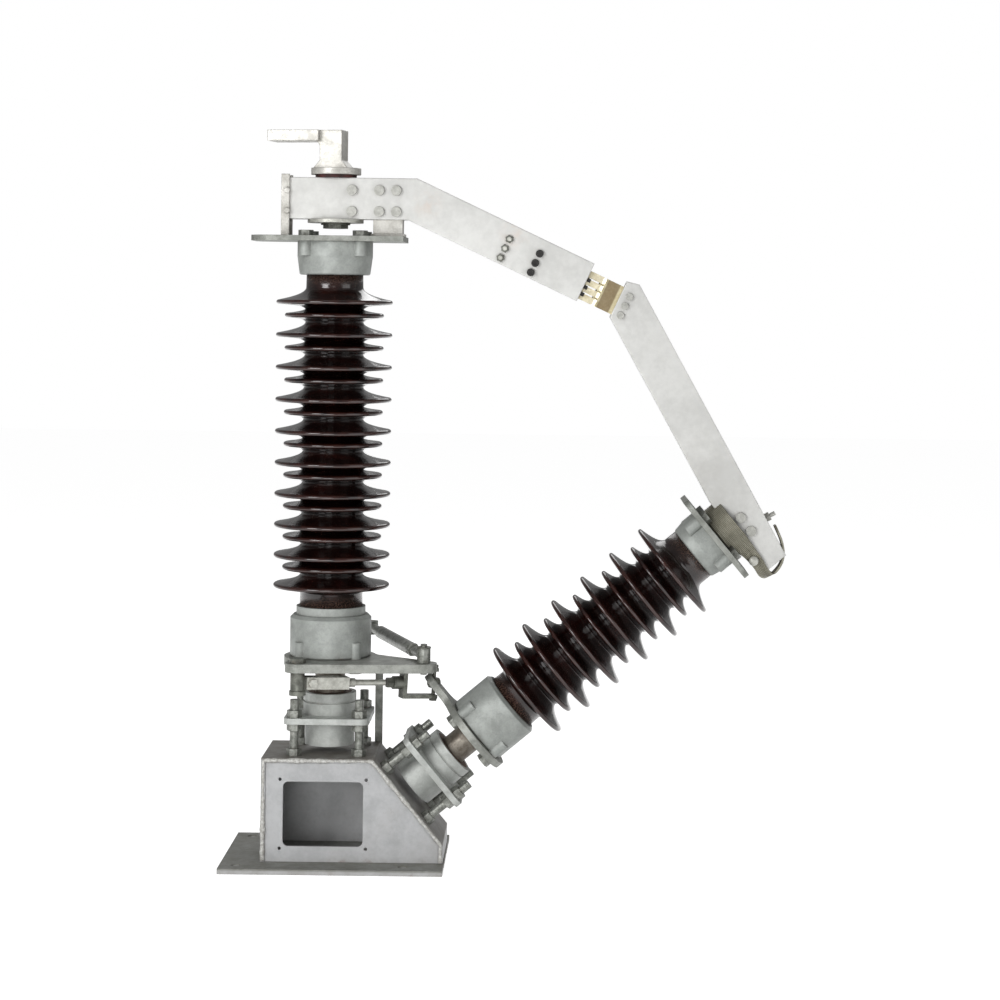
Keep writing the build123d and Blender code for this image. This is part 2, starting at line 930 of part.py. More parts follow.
def arm_tube(outline, cutters):
    """A tube from its outline at each inset, less the given solids."""
    with BuildPart() as tube:
        with BuildSketch(Plane.XZ.offset(-arm_width / 2)):
            with BuildLine():
                Polyline(*outline(0.0), close=True)
            make_face()
        extrude(amount=arm_width)
        with BuildSketch(Plane.XZ.offset(-arm_width / 2 + arm_wall)):
            with BuildLine():
                Polyline(*outline(arm_wall), close=True)
            make_face()
        extrude(amount=arm_width - 2 * arm_wall, mode=Mode.SUBTRACT)
        for cutter in cutters:
            add(cutter, mode=Mode.SUBTRACT)
    return tube


def left_outline(inset):
    """The left arm seen from the front, set in by a wall but open at both ends."""
    half = arm_height / 2 - inset
    return left_arm_outline(half) + left_arm_outline(-half)[::-1]


post_middle = (post_left + post_right) / 2
post_length = post_right - post_left
post_depth = arm_width - 2 * arm_wall
with BuildPart() as arm_openings:
    with BuildSketch(upright.offset(left_arm_low)):
        Circle(terminal_stud_radius + hole_gap)
    extrude(amount=arm_height)
    with BuildSketch(upright.offset(left_arm_low)):
        with Locations((post_middle, 0)):
            Rectangle(post_length, post_depth)
    extrude(amount=arm_wall)
left_arm = arm_tube(
    left_outline,
    (
        arm_openings.part,
        cross_holes(level_bolt_points, arm_bolt_radius),
        cross_holes(finger_bolt_points, contact_bolt_radius),
    ),
)
save(left_arm, "left_arm")

# End bracket that wraps the arm's left end, and the post that stands up inside the arm
bracket_back = left_arm_start - end_bracket_gap - end_bracket_wall
bracket_half = arm_width / 2 + end_bracket_wall
bracket_leg_end = bracket_back + end_bracket_leg
bracket_bolt_points = [
    ((left_arm_start + bracket_leg_end) / 2, left_arm_low + rise) for rise in bracket_bolt_rows
]
with BuildPart() as end_bracket:
    with BuildSketch(upright.offset(left_plate_top)):
        with BuildLine():
            Polyline(
                (bracket_back, -bracket_half),
                (bracket_leg_end, -bracket_half),
                (bracket_leg_end, -arm_width / 2),
                (bracket_back + end_bracket_wall, -arm_width / 2),
                (bracket_back + end_bracket_wall, arm_width / 2),
                (bracket_leg_end, arm_width / 2),
                (bracket_leg_end, bracket_half),
                (bracket_back, bracket_half),
                close=True,
            )
        make_face()
    extrude(amount=left_arm_top + end_bracket_above_arm - left_plate_top)
    for start in (-bracket_half - bracket_bolt_radius, bracket_half):
        with BuildSketch(Plane.XZ.offset(start)):
            with Locations(bracket_bolt_points):
                Circle(bracket_bolt_head_radius)
        extrude(amount=bracket_bolt_radius)
save(end_bracket, "left_end_bracket")

with BuildPart() as arm_post:
    with BuildSketch(upright.offset(left_plate_top)):
        with Locations((post_middle, 0)):
            Rectangle(post_length, post_depth)
    extrude(amount=left_arm_top - arm_wall - left_plate_top)
    with BuildSketch(upright.offset(left_plate_top)):
        with Locations((post_middle, 0)):
            Rectangle(post_length + 2 * post_foot_reach, post_depth + 2 * post_foot_reach)
    extrude(amount=post_foot_thickness)
    with BuildSketch(upright.offset(left_plate_top)):
        with Locations((post_middle, 0)):
            Rectangle(post_length - 2 * post_wall, post_depth - 2 * post_wall)
    extrude(amount=left_arm_top - left_plate_top, mode=Mode.SUBTRACT)
    add(cross_holes(level_bolt_points, arm_bolt_radius), mode=Mode.SUBTRACT)
save(arm_post, "left_arm_post")

with BuildPart() as left_arm_bolts:
    add(cross_bolts(level_bolt_points, arm_bolt_radius, arm_bolt_head_radius, arm_bolt_head_height))
    add(
        cross_bolts(
            finger_bolt_points, contact_bolt_radius, contact_bolt_head_radius, arm_bolt_head_height
        )
    )
save(left_arm_bolts, "left_arm_bolts")

# Contact: fingers in the left arm's mouth, blade in the right arm's
finger_pitch = blade_height / finger_count
finger_inner = blade_thickness / 2 + finger_gap
finger_outer = finger_inner + finger_thickness
arm_half_bore = arm_width / 2 - arm_wall
slot_start = finger_reach - finger_slot_length
with BuildPart() as contact_fingers:
    for side in (-1, 1):
        with BuildSketch(contact_across):
            with BuildLine():
                Polyline(
                    (-finger_root, side * finger_inner),
                    (0, side * finger_inner),
                    (finger_reach, side * (finger_inner + finger_flare)),
                    (finger_reach, side * (finger_outer + finger_flare)),
                    (0, side * finger_outer),
                    (-finger_pad_end, side * finger_outer),
                    (-finger_pad_end, side * arm_half_bore),
                    (-finger_root, side * arm_half_bore),
                    close=True,
                )
            make_face()
        extrude(amount=blade_height)
    with BuildSketch(contact_side.offset(-arm_width / 2)):
        for step in range(1, finger_count):
            slot_level = -contact_drop - blade_height / 2 + step * finger_pitch
            with Locations((slot_start + finger_slot_length / 2, slot_level)):
                Rectangle(finger_slot_length, finger_slot)
    extrude(amount=arm_width, mode=Mode.SUBTRACT)
    add(cross_holes(finger_bolt_points, contact_bolt_radius), mode=Mode.SUBTRACT)
save(contact_fingers, "contact_fingers")

with BuildPart() as finger_spacer:
    with BuildSketch(contact_across):
        with Locations((-(finger_root + finger_pad_end) / 2, 0)):
            Rectangle(finger_root - finger_pad_end, 2 * finger_inner)
    extrude(amount=blade_height)
    add(cross_holes(finger_bolt_points, contact_bolt_radius), mode=Mode.SUBTRACT)
save(finger_spacer, "finger_spacer")

# Blade: a flat bar with a round nose between the fingers and a thick root in the right arm
with BuildPart() as blade:
    with BuildSketch(contact_across):
        with Locations((blade_root / 2, 0)):
            Rectangle(blade_root, blade_thickness)
        with Locations(((blade_root_start + blade_root) / 2, 0)):
            Rectangle(blade_root - blade_root_start, 2 * arm_half_bore)
        Circle(blade_thickness / 2)
    extrude(amount=blade_height)
    add(cross_holes(blade_bolt_points, contact_bolt_radius), mode=Mode.SUBTRACT)
save(blade, "contact_blade")

# Right arm: a sloping tube whose foot is cut parallel to the right top plate


def meet(start, direction, other, other_direction):
    """Where two lines of the X-Z plane cross."""
    cross = direction[0] * other_direction[1] - direction[1] * other_direction[0]
    gap = (other[0] - start[0], other[1] - start[1])
    share = (gap[0] * other_direction[1] - gap[1] * other_direction[0]) / cross
    return (start[0] + share * direction[0], start[1] + share * direction[1])


foot_inner = leaning_point(right_foot_inner, foot_low)
slope_along = (cos(lean), -sin(lean))
slope_up = (sin(lean), cos(lean))
contact_up = (sin(half_lean), cos(half_lean))
mouth_top = radians(right_mouth_top_deg)
mouth_along = (cos(mouth_top), -sin(mouth_top))
mouth_corner = along_contact(right_arm_start_gap, -arm_height / 2)
arm_lean = atan2(foot_inner[0] - mouth_corner[0], mouth_corner[1] - foot_inner[1])
arm_drop = (sin(arm_lean), -cos(arm_lean))
arm_side = (cos(arm_lean), sin(arm_lean))


def right_outline(inset):
    """The right arm seen from the front, set in by a wall but open at mouth and foot."""
    inner_start = (foot_inner[0] + inset * arm_side[0], foot_inner[1] + inset * arm_side[1])
    outer_start = (
        foot_inner[0] + (arm_height - inset) * arm_side[0],
        foot_inner[1] + (arm_height - inset) * arm_side[1],
    )
    end_low = leaning_point(right_foot_outer - inset, foot_low)
    mouth_low = along_contact(right_arm_start_gap, inset - arm_height / 2)
    mouth_high = along_contact(right_arm_start_gap, right_mouth_height - arm_height / 2 - inset)
    return [
        meet(inner_start, arm_drop, mouth_low, contact_up),
        mouth_high,
        meet(outer_start, arm_drop, mouth_high, mouth_along),
        meet(outer_start, arm_drop, end_low, slope_up),
        end_low,
        meet(inner_start, arm_drop, end_low, slope_along),
    ]


outer_edge = leaning.to_local_coords(
    Vector(foot_inner[0] + arm_height * arm_side[0], 0, foot_inner[1] + arm_height * arm_side[1])
)
edge_drop = leaning.to_local_coords(
    leaning.origin + Vector(arm_drop[0], 0, arm_drop[1])
)
stud_height = outer_edge.Z + (foot_stud_across - outer_edge.X) * edge_drop.Z / edge_drop.X
stud_spot = leaning_point(foot_stud_across, stud_height)
stud_frame = Plane(
    origin=(stud_spot[0], 0, stud_spot[1]), x_dir=(0, 1, 0), z_dir=(arm_side[0], 0, arm_side[1])
)
with BuildPart() as stud_hole:
    with BuildSketch(stud_frame.offset(-arm_wall)):
        Circle(contact_bolt_radius)
    extrude(amount=arm_wall)
right_arm = arm_tube(
    right_outline,
    (
        stud_hole.part,
        cross_holes(blade_bolt_points, contact_bolt_radius),
        cross_holes(arm_foot_points, arm_bolt_radius),
    ),
)
save(right_arm, "right_arm")

with BuildPart() as right_arm_bolts:
    add(
        cross_bolts(
            blade_bolt_points, contact_bolt_radius, contact_bolt_head_radius, arm_bolt_head_height
        )
    )
    add(cross_bolts(arm_foot_points, arm_bolt_radius, arm_bolt_head_radius, arm_bolt_head_height))
    with BuildSketch(stud_frame.offset(-arm_wall)):
        Circle(contact_bolt_radius)
    extrude(amount=arm_wall + foot_stud_length)
    with BuildSketch(stud_frame):
        RegularPolygon(foot_stud_nut_across_flats / 2, 6, major_radius=False)
    extrude(amount=foot_stud_nut_height)
save(right_arm_bolts, "right_arm_bolts")

# Hub on the right top plate with a block that fills the arm's foot; the braid is wound
# round the hub and leaves it as a strap that goes round the arm's end
with BuildPart() as arm_hub:
    with BuildSketch(leaning.offset(right_plate_top)):
        Circle(hub_radius)
    extrude(amount=foot_low - right_plate_top)
    with BuildSketch(leaning.offset(foot_low)):
        with Locations(((hub_block_left + hub_block_right) / 2, 0)):
            Rectangle(hub_block_right - hub_block_left, 2 * arm_half_bore)
    extrude(amount=hub_block_height)
    add(cross_holes(arm_foot_points, arm_bolt_radius), mode=Mode.SUBTRACT)
save(arm_hub, "right_arm_hub")
save(
    turned_ring(
        leaning,
        braid_inner_radius,
        braid_outer_radius,
        right_plate_top + braid_end_gap,
        foot_low - braid_end_gap,
    ),
    "flexible_braid",
)
arm_half = arm_width / 2
with BuildPart() as braid_strap:
    with BuildSketch(leaning.offset(foot_low - strap_below_foot)):
        with BuildLine():
            Polyline(
                (strap_start, -braid_outer_radius),
                (strap_leave, -braid_outer_radius),
                (strap_swing_across, -strap_swing_forward),
                (strap_meet_arm, -arm_half),
                (right_foot_outer, -arm_half),
                (right_foot_outer, arm_half),
                (strap_back_end, arm_half),
                (strap_back_end, arm_half + strap_thickness),
                (right_foot_outer + strap_thickness, arm_half + strap_thickness),
                (right_foot_outer + strap_thickness, -arm_half - strap_thickness),
                (strap_meet_arm, -arm_half - strap_thickness),
                (strap_swing_across, -strap_swing_forward - strap_thickness),
                (strap_leave, -braid_outer_radius - strap_thickness),
                (strap_start, -braid_outer_radius - strap_thickness),
                close=True,
            )
        make_face()
    extrude(amount=strap_width)
save(braid_strap, "braid_strap")

# Terminal on the left arm: pad, elbow and column in one casting on a round flange
flange_low = left_arm_top + gasket_thickness
flange_top = flange_low + terminal_flange_thickness
terminal_top = left_arm_top + terminal_height
pad_low = terminal_top - terminal_pad_thickness
nut_low = left_arm_low - thrust_washer_thickness - terminal_nut_height
terminal_frame = upright.rotated((0, 0, terminal_yaw_deg))
terminal_side = Plane(
    origin=(0, 0, 0), x_dir=terminal_frame.x_dir, z_dir=-terminal_frame.y_dir
)
save(
    turned_ring(
        upright, terminal_stud_radius + hole_gap, gasket_radius, left_arm_top,
        flange_low - gasket_gap,
    ),
    "upper_gasket",
)
with BuildPart() as terminal:
    with BuildSketch(upright.offset(flange_low)):
        Circle(terminal_flange_radius)
    extrude(amount=terminal_flange_thickness)
    with BuildSketch(terminal_side.offset(-terminal_column_width / 2)) as column:
        with BuildLine():
            Polyline(
                (terminal_pad_left, terminal_top),
                (terminal_pad_left, pad_low),
                (terminal_column_left, pad_low),
                (terminal_column_left, flange_top + terminal_flare_height),
                (terminal_column_left - terminal_flare_reach, flange_top),
                (terminal_column_right + terminal_flare_reach, flange_top),
                (terminal_column_right, flange_top + terminal_flare_height),
                (terminal_column_right, terminal_top),
                close=True,
            )
        make_face()
        elbow = column.vertices().sort_by_distance((terminal_column_left, pad_low))[0]
        fillet(elbow, terminal_elbow_radius)
    extrude(amount=terminal_column_width)
    with BuildSketch(terminal_frame.offset(pad_low)):
        with Locations(((terminal_pad_left + terminal_column_left) / 2, 0)):
            Rectangle(terminal_column_left - terminal_pad_left, terminal_pad_width)
    extrude(amount=terminal_pad_thickness)
    with BuildSketch(terminal_frame.offset(pad_low)):
        with Locations((terminal_hole_centre_x, 0)):
            with GridLocations(terminal_hole_spacing, terminal_hole_spacing, 2, 2):
                Circle(terminal_hole_radius)
    extrude(amount=terminal_pad_thickness, mode=Mode.SUBTRACT)
    with BuildSketch(upright.offset(nut_low)):
        Circle(terminal_stud_radius)
    extrude(amount=flange_low - nut_low)
save(terminal, "terminal")
washer_low = left_arm_low - thrust_washer_thickness
save(
    turned_ring(
        upright, terminal_stud_radius + hole_gap, thrust_washer_radius, washer_low + gasket_gap,
        left_arm_low,
    ),
    "terminal_thrust_washer",
)
with BuildPart() as terminal_nut:
    with BuildSketch(upright.offset(nut_low)):
        RegularPolygon(terminal_nut_radius, 6, major_radius=False)
    extrude(amount=terminal_nut_height)
    with BuildSketch(upright.offset(washer_low - terminal_nut_washer_thickness)):
        Circle(terminal_nut_washer_radius)
    extrude(amount=terminal_nut_washer_thickness)
    with BuildSketch(upright.offset(nut_low)):
        Circle(terminal_stud_radius)
    extrude(amount=terminal_nut_height, mode=Mode.SUBTRACT)
save(terminal_nut, "terminal_nut")

# Cross link: a swivel block under the left lever's lobe carries a fork and rod. The far half,
# a nut and clevis, hangs on a ball in the right lever's eye.
cross_link_height = left_lever_low - cross_link_drop
swivel_axis = Vector(swivel_x, swivel_y, cross_link_height)
eye_height = right_lever_low + right_lever_thickness / 2
eye_centre = leaning.from_local_coords(Vector(right_eye_across, right_eye_forward, eye_height))
heading = Vector(eye_centre.X - swivel_x, eye_centre.Y - swivel_y, 0).normalized()
fork_centre = swivel_axis + heading * swivel_reach
link_run = eye_centre - fork_centre
link_length = link_run.length
link_x = link_run.normalized()
link_y = Vector(-heading.Y, heading.X, 0)
link_z = link_x.cross(link_y)
level_block = Plane(origin=swivel_axis, x_dir=heading, z_dir=(0, 0, 1))
link_flat = Plane(origin=fork_centre, x_dir=link_x, z_dir=link_z)
link_side = Plane(origin=fork_centre, x_dir=link_x, z_dir=-link_y)
link_end = Plane(origin=fork_centre, x_dir=link_y, z_dir=link_x)
eye_frame = Plane(origin=eye_centre, x_dir=link_x, z_dir=link_z)

block_top = left_lever_low - swivel_block_gap
block_low = cross_link_height - swivel_block_height / 2
lobe = (swivel_x, swivel_y)
with BuildPart() as swivel_pin:
    for low, high, radius in (
        (block_low - swivel_pin_head_height, left_fitting_low, swivel_pin_radius),
        (
            block_low - swivel_pin_head_height - swivel_block_gap,
            block_low - swivel_block_gap,
            swivel_pin_head_radius,
        ),
        (
            left_fitting_low,
            left_fitting_low + swivel_pin_head_height,
            swivel_pin_head_radius,
        ),
    ):
        with BuildSketch(upright.offset(low)):
            with Locations(lobe):
                Circle(radius)
        extrude(amount=high - low)
save(swivel_pin, "cross_link_pin")

tongue_length = swivel_reach + fork_bolt_head_radius
with BuildPart() as swivel_block:
    with BuildSketch(level_block.offset(-swivel_block_height / 2)):
        Circle(swivel_block_radius)
        with Locations((tongue_length / 2, 0)):
            Rectangle(tongue_length, tongue_thickness)
    extrude(amount=fork_height + (swivel_block_height - fork_height) / 2)
    with BuildSketch(level_block.offset(fork_height / 2)):
        Circle(swivel_block_radius)
    extrude(amount=block_top - cross_link_height - fork_height / 2)
    with BuildSketch(level_block.offset(-swivel_block_height / 2)):
        Circle(swivel_pin_radius + running_gap)
    extrude(amount=2 * swivel_block_height, mode=Mode.SUBTRACT)
    with BuildSketch(link_side.offset(-tongue_thickness)):
        Circle(fork_bolt_radius + running_gap)
    extrude(amount=2 * tongue_thickness, mode=Mode.SUBTRACT)
save(swivel_block, "cross_link_swivel")

fork_half_width = tongue_thickness / 2 + fork_side_gap + fork_cheek
with BuildPart() as fork:
    with BuildSketch(link_flat.offset(-fork_height / 2)):
        with Locations(((fork_length - fork_back) / 2, 0)):
            Rectangle(fork_length + fork_back, 2 * fork_half_width)
        with Locations(((fork_length - fork_web - fork_back) / 2, 0)):
            Rectangle(
                fork_length - fork_web + fork_back,
                2 * (fork_half_width - fork_cheek),
                mode=Mode.SUBTRACT,
            )
    extrude(amount=fork_height)
    with BuildSketch(link_end.offset(fork_length)):
        Circle(fork_collar_radius)
    extrude(amount=fork_collar_length)
    with BuildSketch(link_side.offset(-fork_half_width)):
        Circle(fork_bolt_radius)
    extrude(amount=2 * fork_half_width, mode=Mode.SUBTRACT)
save(fork, "cross_link_fork")

with BuildPart() as fork_bolt:
    with BuildSketch(link_side.offset(-fork_half_width)):
        Circle(fork_bolt_radius)
    extrude(amount=2 * fork_half_width)
    for start in (-fork_half_width - fork_bolt_head_height, fork_half_width):
        with BuildSketch(link_side.offset(start)):
            RegularPolygon(fork_bolt_head_radius, 6)
        extrude(amount=fork_bolt_head_height)
save(fork_bolt, "cross_link_fork_bolt")

clevis_root = link_length - clevis_mouth_depth - clevis_root_length
nut_start = clevis_root - clevis_neck_length - link_nut_length
rod_start = fork_length + fork_collar_length
with BuildPart() as link_rod:
    with BuildSketch(link_end.offset(rod_start)):
        Circle(rod_radius)
    extrude(amount=nut_start - rod_end_gap - rod_start)
save(link_rod, "cross_link_rod")

with BuildPart() as link_nut:
    with BuildSketch(link_end.offset(nut_start)):
        RegularPolygon(link_nut_across_flats / 2, 6, major_radius=False)
    extrude(amount=link_nut_length)
save(link_nut, "cross_link_nut")

clevis_half = clevis_gap / 2 + clevis_tine
with BuildPart() as clevis:
    with BuildSketch(link_side.offset(-clevis_width / 2)):
        with Locations(((clevis_root + link_length + clevis_nose) / 2, 0)):
            Rectangle(link_length + clevis_nose - clevis_root, 2 * clevis_half)
        with Locations(((clevis_root + clevis_root_length + link_length + clevis_nose) / 2, 0)):
            Rectangle(
                link_length + clevis_nose - clevis_root - clevis_root_length,
                clevis_gap,
                mode=Mode.SUBTRACT,
            )
    extrude(amount=clevis_width)
    with BuildSketch(link_end.offset(clevis_root - clevis_neck_length)):
        Circle(clevis_neck_radius)
    extrude(amount=clevis_neck_length)
    with BuildSketch(eye_frame.offset(-clevis_half)):
        Circle(eye_bolt_radius)
    extrude(amount=2 * clevis_half, mode=Mode.SUBTRACT)
save(clevis, "cross_link_clevis")

# The ball is flattened where the bolt passes; it turns every way in the lever's eye.
with BuildPart() as eye_ball:
    with Locations(eye_frame):
        Sphere(eye_ball_radius)
    with BuildSketch(eye_frame.offset(eye_ball_land)):
        Circle(2 * eye_ball_radius)
    extrude(amount=eye_ball_radius, mode=Mode.SUBTRACT)
    with BuildSketch(eye_frame.offset(-eye_ball_land - eye_ball_radius)):
        Circle(2 * eye_ball_radius)
    extrude(amount=eye_ball_radius, mode=Mode.SUBTRACT)
    with BuildSketch(eye_frame.offset(-eye_ball_land)):
        Circle(eye_bolt_radius)
    extrude(amount=2 * eye_ball_land, mode=Mode.SUBTRACT)
save(eye_ball, "cross_link_eye_ball")

with BuildPart() as eye_bolt:
    with BuildSketch(eye_frame.offset(-clevis_half)):
        Circle(eye_bolt_radius)
    extrude(amount=2 * clevis_half)
    for start in (-clevis_half - eye_bolt_head_height, clevis_half):
        with BuildSketch(eye_frame.offset(start)):
            RegularPolygon(eye_bolt_head_radius, 6)
        extrude(amount=eye_bolt_head_height)
save(eye_bolt, "cross_link_eye_bolt")

# Drive link: an eye on the left lever's end pin, lock nut, tube and far eye
with BuildPart() as drive_pin:
    with BuildSketch(upright.offset(left_lever_low - drive_pin_below)):
        with Locations((drive_pin_x, drive_pin_y)):
            Circle(drive_pin_radius)
    extrude(amount=drive_pin_below + left_lever_thickness + drive_eye_height + drive_pin_above)
save(drive_pin, "drive_pin")
drive_heading = radians(drive_link_heading_deg)
drive_along = Vector(cos(drive_heading), sin(drive_heading), 0)
drive_level = left_fitting_low + drive_eye_gap + drive_eye_height / 2
drive_start = Vector(drive_pin_x, drive_pin_y, drive_level)
drive_end = drive_start + drive_along * drive_link_length
drive_frame = Plane(origin=drive_start, x_dir=(-drive_along.Y, drive_along.X, 0), z_dir=drive_along)


def eye_end(centre, reach_from, reach_to, bore):
    """A rod-end eye with its tapered shank."""
    with BuildPart() as eye:
        with BuildSketch(Plane.XY.offset(drive_level - drive_eye_height / 2)):
            with Locations((centre.X, centre.Y)):
                Circle(drive_eye_radius)
        extrude(amount=drive_eye_height)
        with BuildSketch(drive_frame.offset(reach_from)):
            Circle(drive_shank_root_radius)
        with BuildSketch(drive_frame.offset(reach_to)):
            Circle(drive_shank_end_radius)
        loft()
        with BuildSketch(Plane.XY.offset(drive_level - drive_eye_height / 2)):
            with Locations((centre.X, centre.Y)):
                Circle(bore)
        extrude(amount=drive_eye_height, mode=Mode.SUBTRACT)
    return eye


drive_bore = drive_pin_radius + running_gap
save(
    eye_end(drive_start, drive_shank_start, drive_shank_reach, drive_bore), "drive_link_front_eye"
)
save(
    eye_end(
        drive_end,
        drive_link_length - drive_shank_start,
        drive_link_length - drive_shank_reach,
        drive_bore,
    ),
    "drive_link_rear_eye",
)
with BuildPart() as drive_nut:
    with BuildSketch(drive_frame.offset(drive_shank_reach)):
        RegularPolygon(drive_nut_across_flats / 2, 6, major_radius=False)
    extrude(amount=drive_nut_length)
save(drive_nut, "drive_link_nut")
with BuildPart() as drive_tube:
    with BuildSketch(drive_frame.offset(drive_shank_reach + drive_nut_length)):
        Circle(drive_tube_radius)
    extrude(amount=drive_link_length - 2 * drive_shank_reach - drive_nut_length)
save(drive_tube, "drive_link_tube")
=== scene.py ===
"""Looks of a single-pole disconnect switch with two porcelain insulators set in a V.

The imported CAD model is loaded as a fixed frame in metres. This script dresses its nodes, adds the
small parts that the frame leaves out, and sets the camera, the lamps and the floor.
"""

from __future__ import annotations

import json
import logging
import math
from dataclasses import dataclass, field
from enum import Enum

import bpy
import numpy as np
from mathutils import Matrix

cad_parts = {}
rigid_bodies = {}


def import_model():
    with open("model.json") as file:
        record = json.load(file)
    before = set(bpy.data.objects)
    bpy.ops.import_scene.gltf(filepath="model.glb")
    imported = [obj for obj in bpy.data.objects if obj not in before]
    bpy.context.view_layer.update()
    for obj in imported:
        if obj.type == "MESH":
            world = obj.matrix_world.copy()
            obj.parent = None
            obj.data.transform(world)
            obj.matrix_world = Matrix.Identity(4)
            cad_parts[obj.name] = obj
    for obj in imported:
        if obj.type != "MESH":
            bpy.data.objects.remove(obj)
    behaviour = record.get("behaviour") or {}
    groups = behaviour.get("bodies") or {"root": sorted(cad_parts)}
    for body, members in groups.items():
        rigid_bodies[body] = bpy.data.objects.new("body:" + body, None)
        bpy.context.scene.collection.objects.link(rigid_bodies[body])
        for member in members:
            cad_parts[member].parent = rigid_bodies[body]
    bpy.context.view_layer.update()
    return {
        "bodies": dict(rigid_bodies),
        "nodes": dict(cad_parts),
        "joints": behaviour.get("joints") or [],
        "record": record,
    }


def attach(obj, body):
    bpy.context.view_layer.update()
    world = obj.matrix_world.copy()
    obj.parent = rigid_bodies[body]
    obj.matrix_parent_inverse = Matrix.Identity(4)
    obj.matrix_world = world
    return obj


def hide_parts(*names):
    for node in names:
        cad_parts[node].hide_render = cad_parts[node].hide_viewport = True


LOG = logging.getLogger("switch")
MM = 0.001
Colour = tuple[float, float, float]
Array = np.ndarray

HOUSING_TOP_MM = 197.0
SLOPE_FACE_MM = 188.4
LEAN_DEG = 50.0
LEAN_ORIGIN_MM: Colour = (0.0, 0.0, 8.0)
CONTACT_MM: Colour = (487.1, 0.0, 1052.6)
CONTACT_DROP_DEG = 25.0
FOOT_LOW_MM = 953.3


def linear(red: int, green: int, blue: int) -> Colour:
    """Turn a display colour of 0 to 255 into the linear one that shaders use.

    Args:
        red: display red.
        green: display green.
        blue: display blue.

    Returns:
        The three linear values.
    """
    share = np.array([red, green, blue]) / 255
    bent = np.where(share <= 0.04045, share / 12.92, ((share + 0.055) / 1.055) ** 2.4)
    return (float(bent[0]), float(bent[1]), float(bent[2]))


class Signal:
    """A shader socket that takes Python operators and adds the Math nodes for them."""

    def __init__(self, graph: Graph, socket: bpy.types.NodeSocket) -> None:
        """Wrap one output socket of a graph."""
        self.graph = graph
        self.socket = socket

    def _join(self, operation: str, first: object, second: object) -> Signal:
        """Add one Math node.

        Args:
            operation: the Math node's operation.
            first: a Signal or a number.
            second: a Signal or a number.

        Returns:
            The node's result.
        """
        return self.graph.add("ShaderNodeMath", {"operation": operation}, {0: first, 1: second})

    def __add__(self, other: object) -> Signal:
        """Sum."""
        return self._join("ADD", self, other)

    def __radd__(self, other: object) -> Signal:
        """Sum with a number first."""
        return self._join("ADD", other, self)

    def __sub__(self, other: object) -> Signal:
        """Difference."""
        return self._join("SUBTRACT", self, other)

    def __rsub__(self, other: object) -> Signal:
        """Difference from a number."""
        return self._join("SUBTRACT", other, self)

    def __mul__(self, other: object) -> Signal:
        """Product."""
        return self._join("MULTIPLY", self, other)

    def __rmul__(self, other: object) -> Signal:
        """Product with a number first."""
        return self._join("MULTIPLY", other, self)

    def clamp(self) -> Signal:
        """Keep the value between 0 and 1."""
        return self.graph.add("ShaderNodeClamp", {}, {0: self})

    def step(self, low: float, high: float) -> Signal:
        """Rise smoothly from 0 at low to 1 at high.

        Args:
            low: the value that gives 0.
            high: the value that gives 1.

        Returns:
            The eased share.
        """
        return self.graph.add(
            "ShaderNodeMapRange", {"interpolation_type": "SMOOTHSTEP"}, {0: self, 1: low, 2: high}
        )

    def band(self, low: float, high: float, soft: float) -> Signal:
        """1 between two values, easing to 0 outside them.

        Args:
            low: where the band starts.
            high: where it ends.
            soft: how wide each edge is.

        Returns:
            The share.
        """
        return self.step(low, low + soft) * (1 - self.step(high - soft, high))


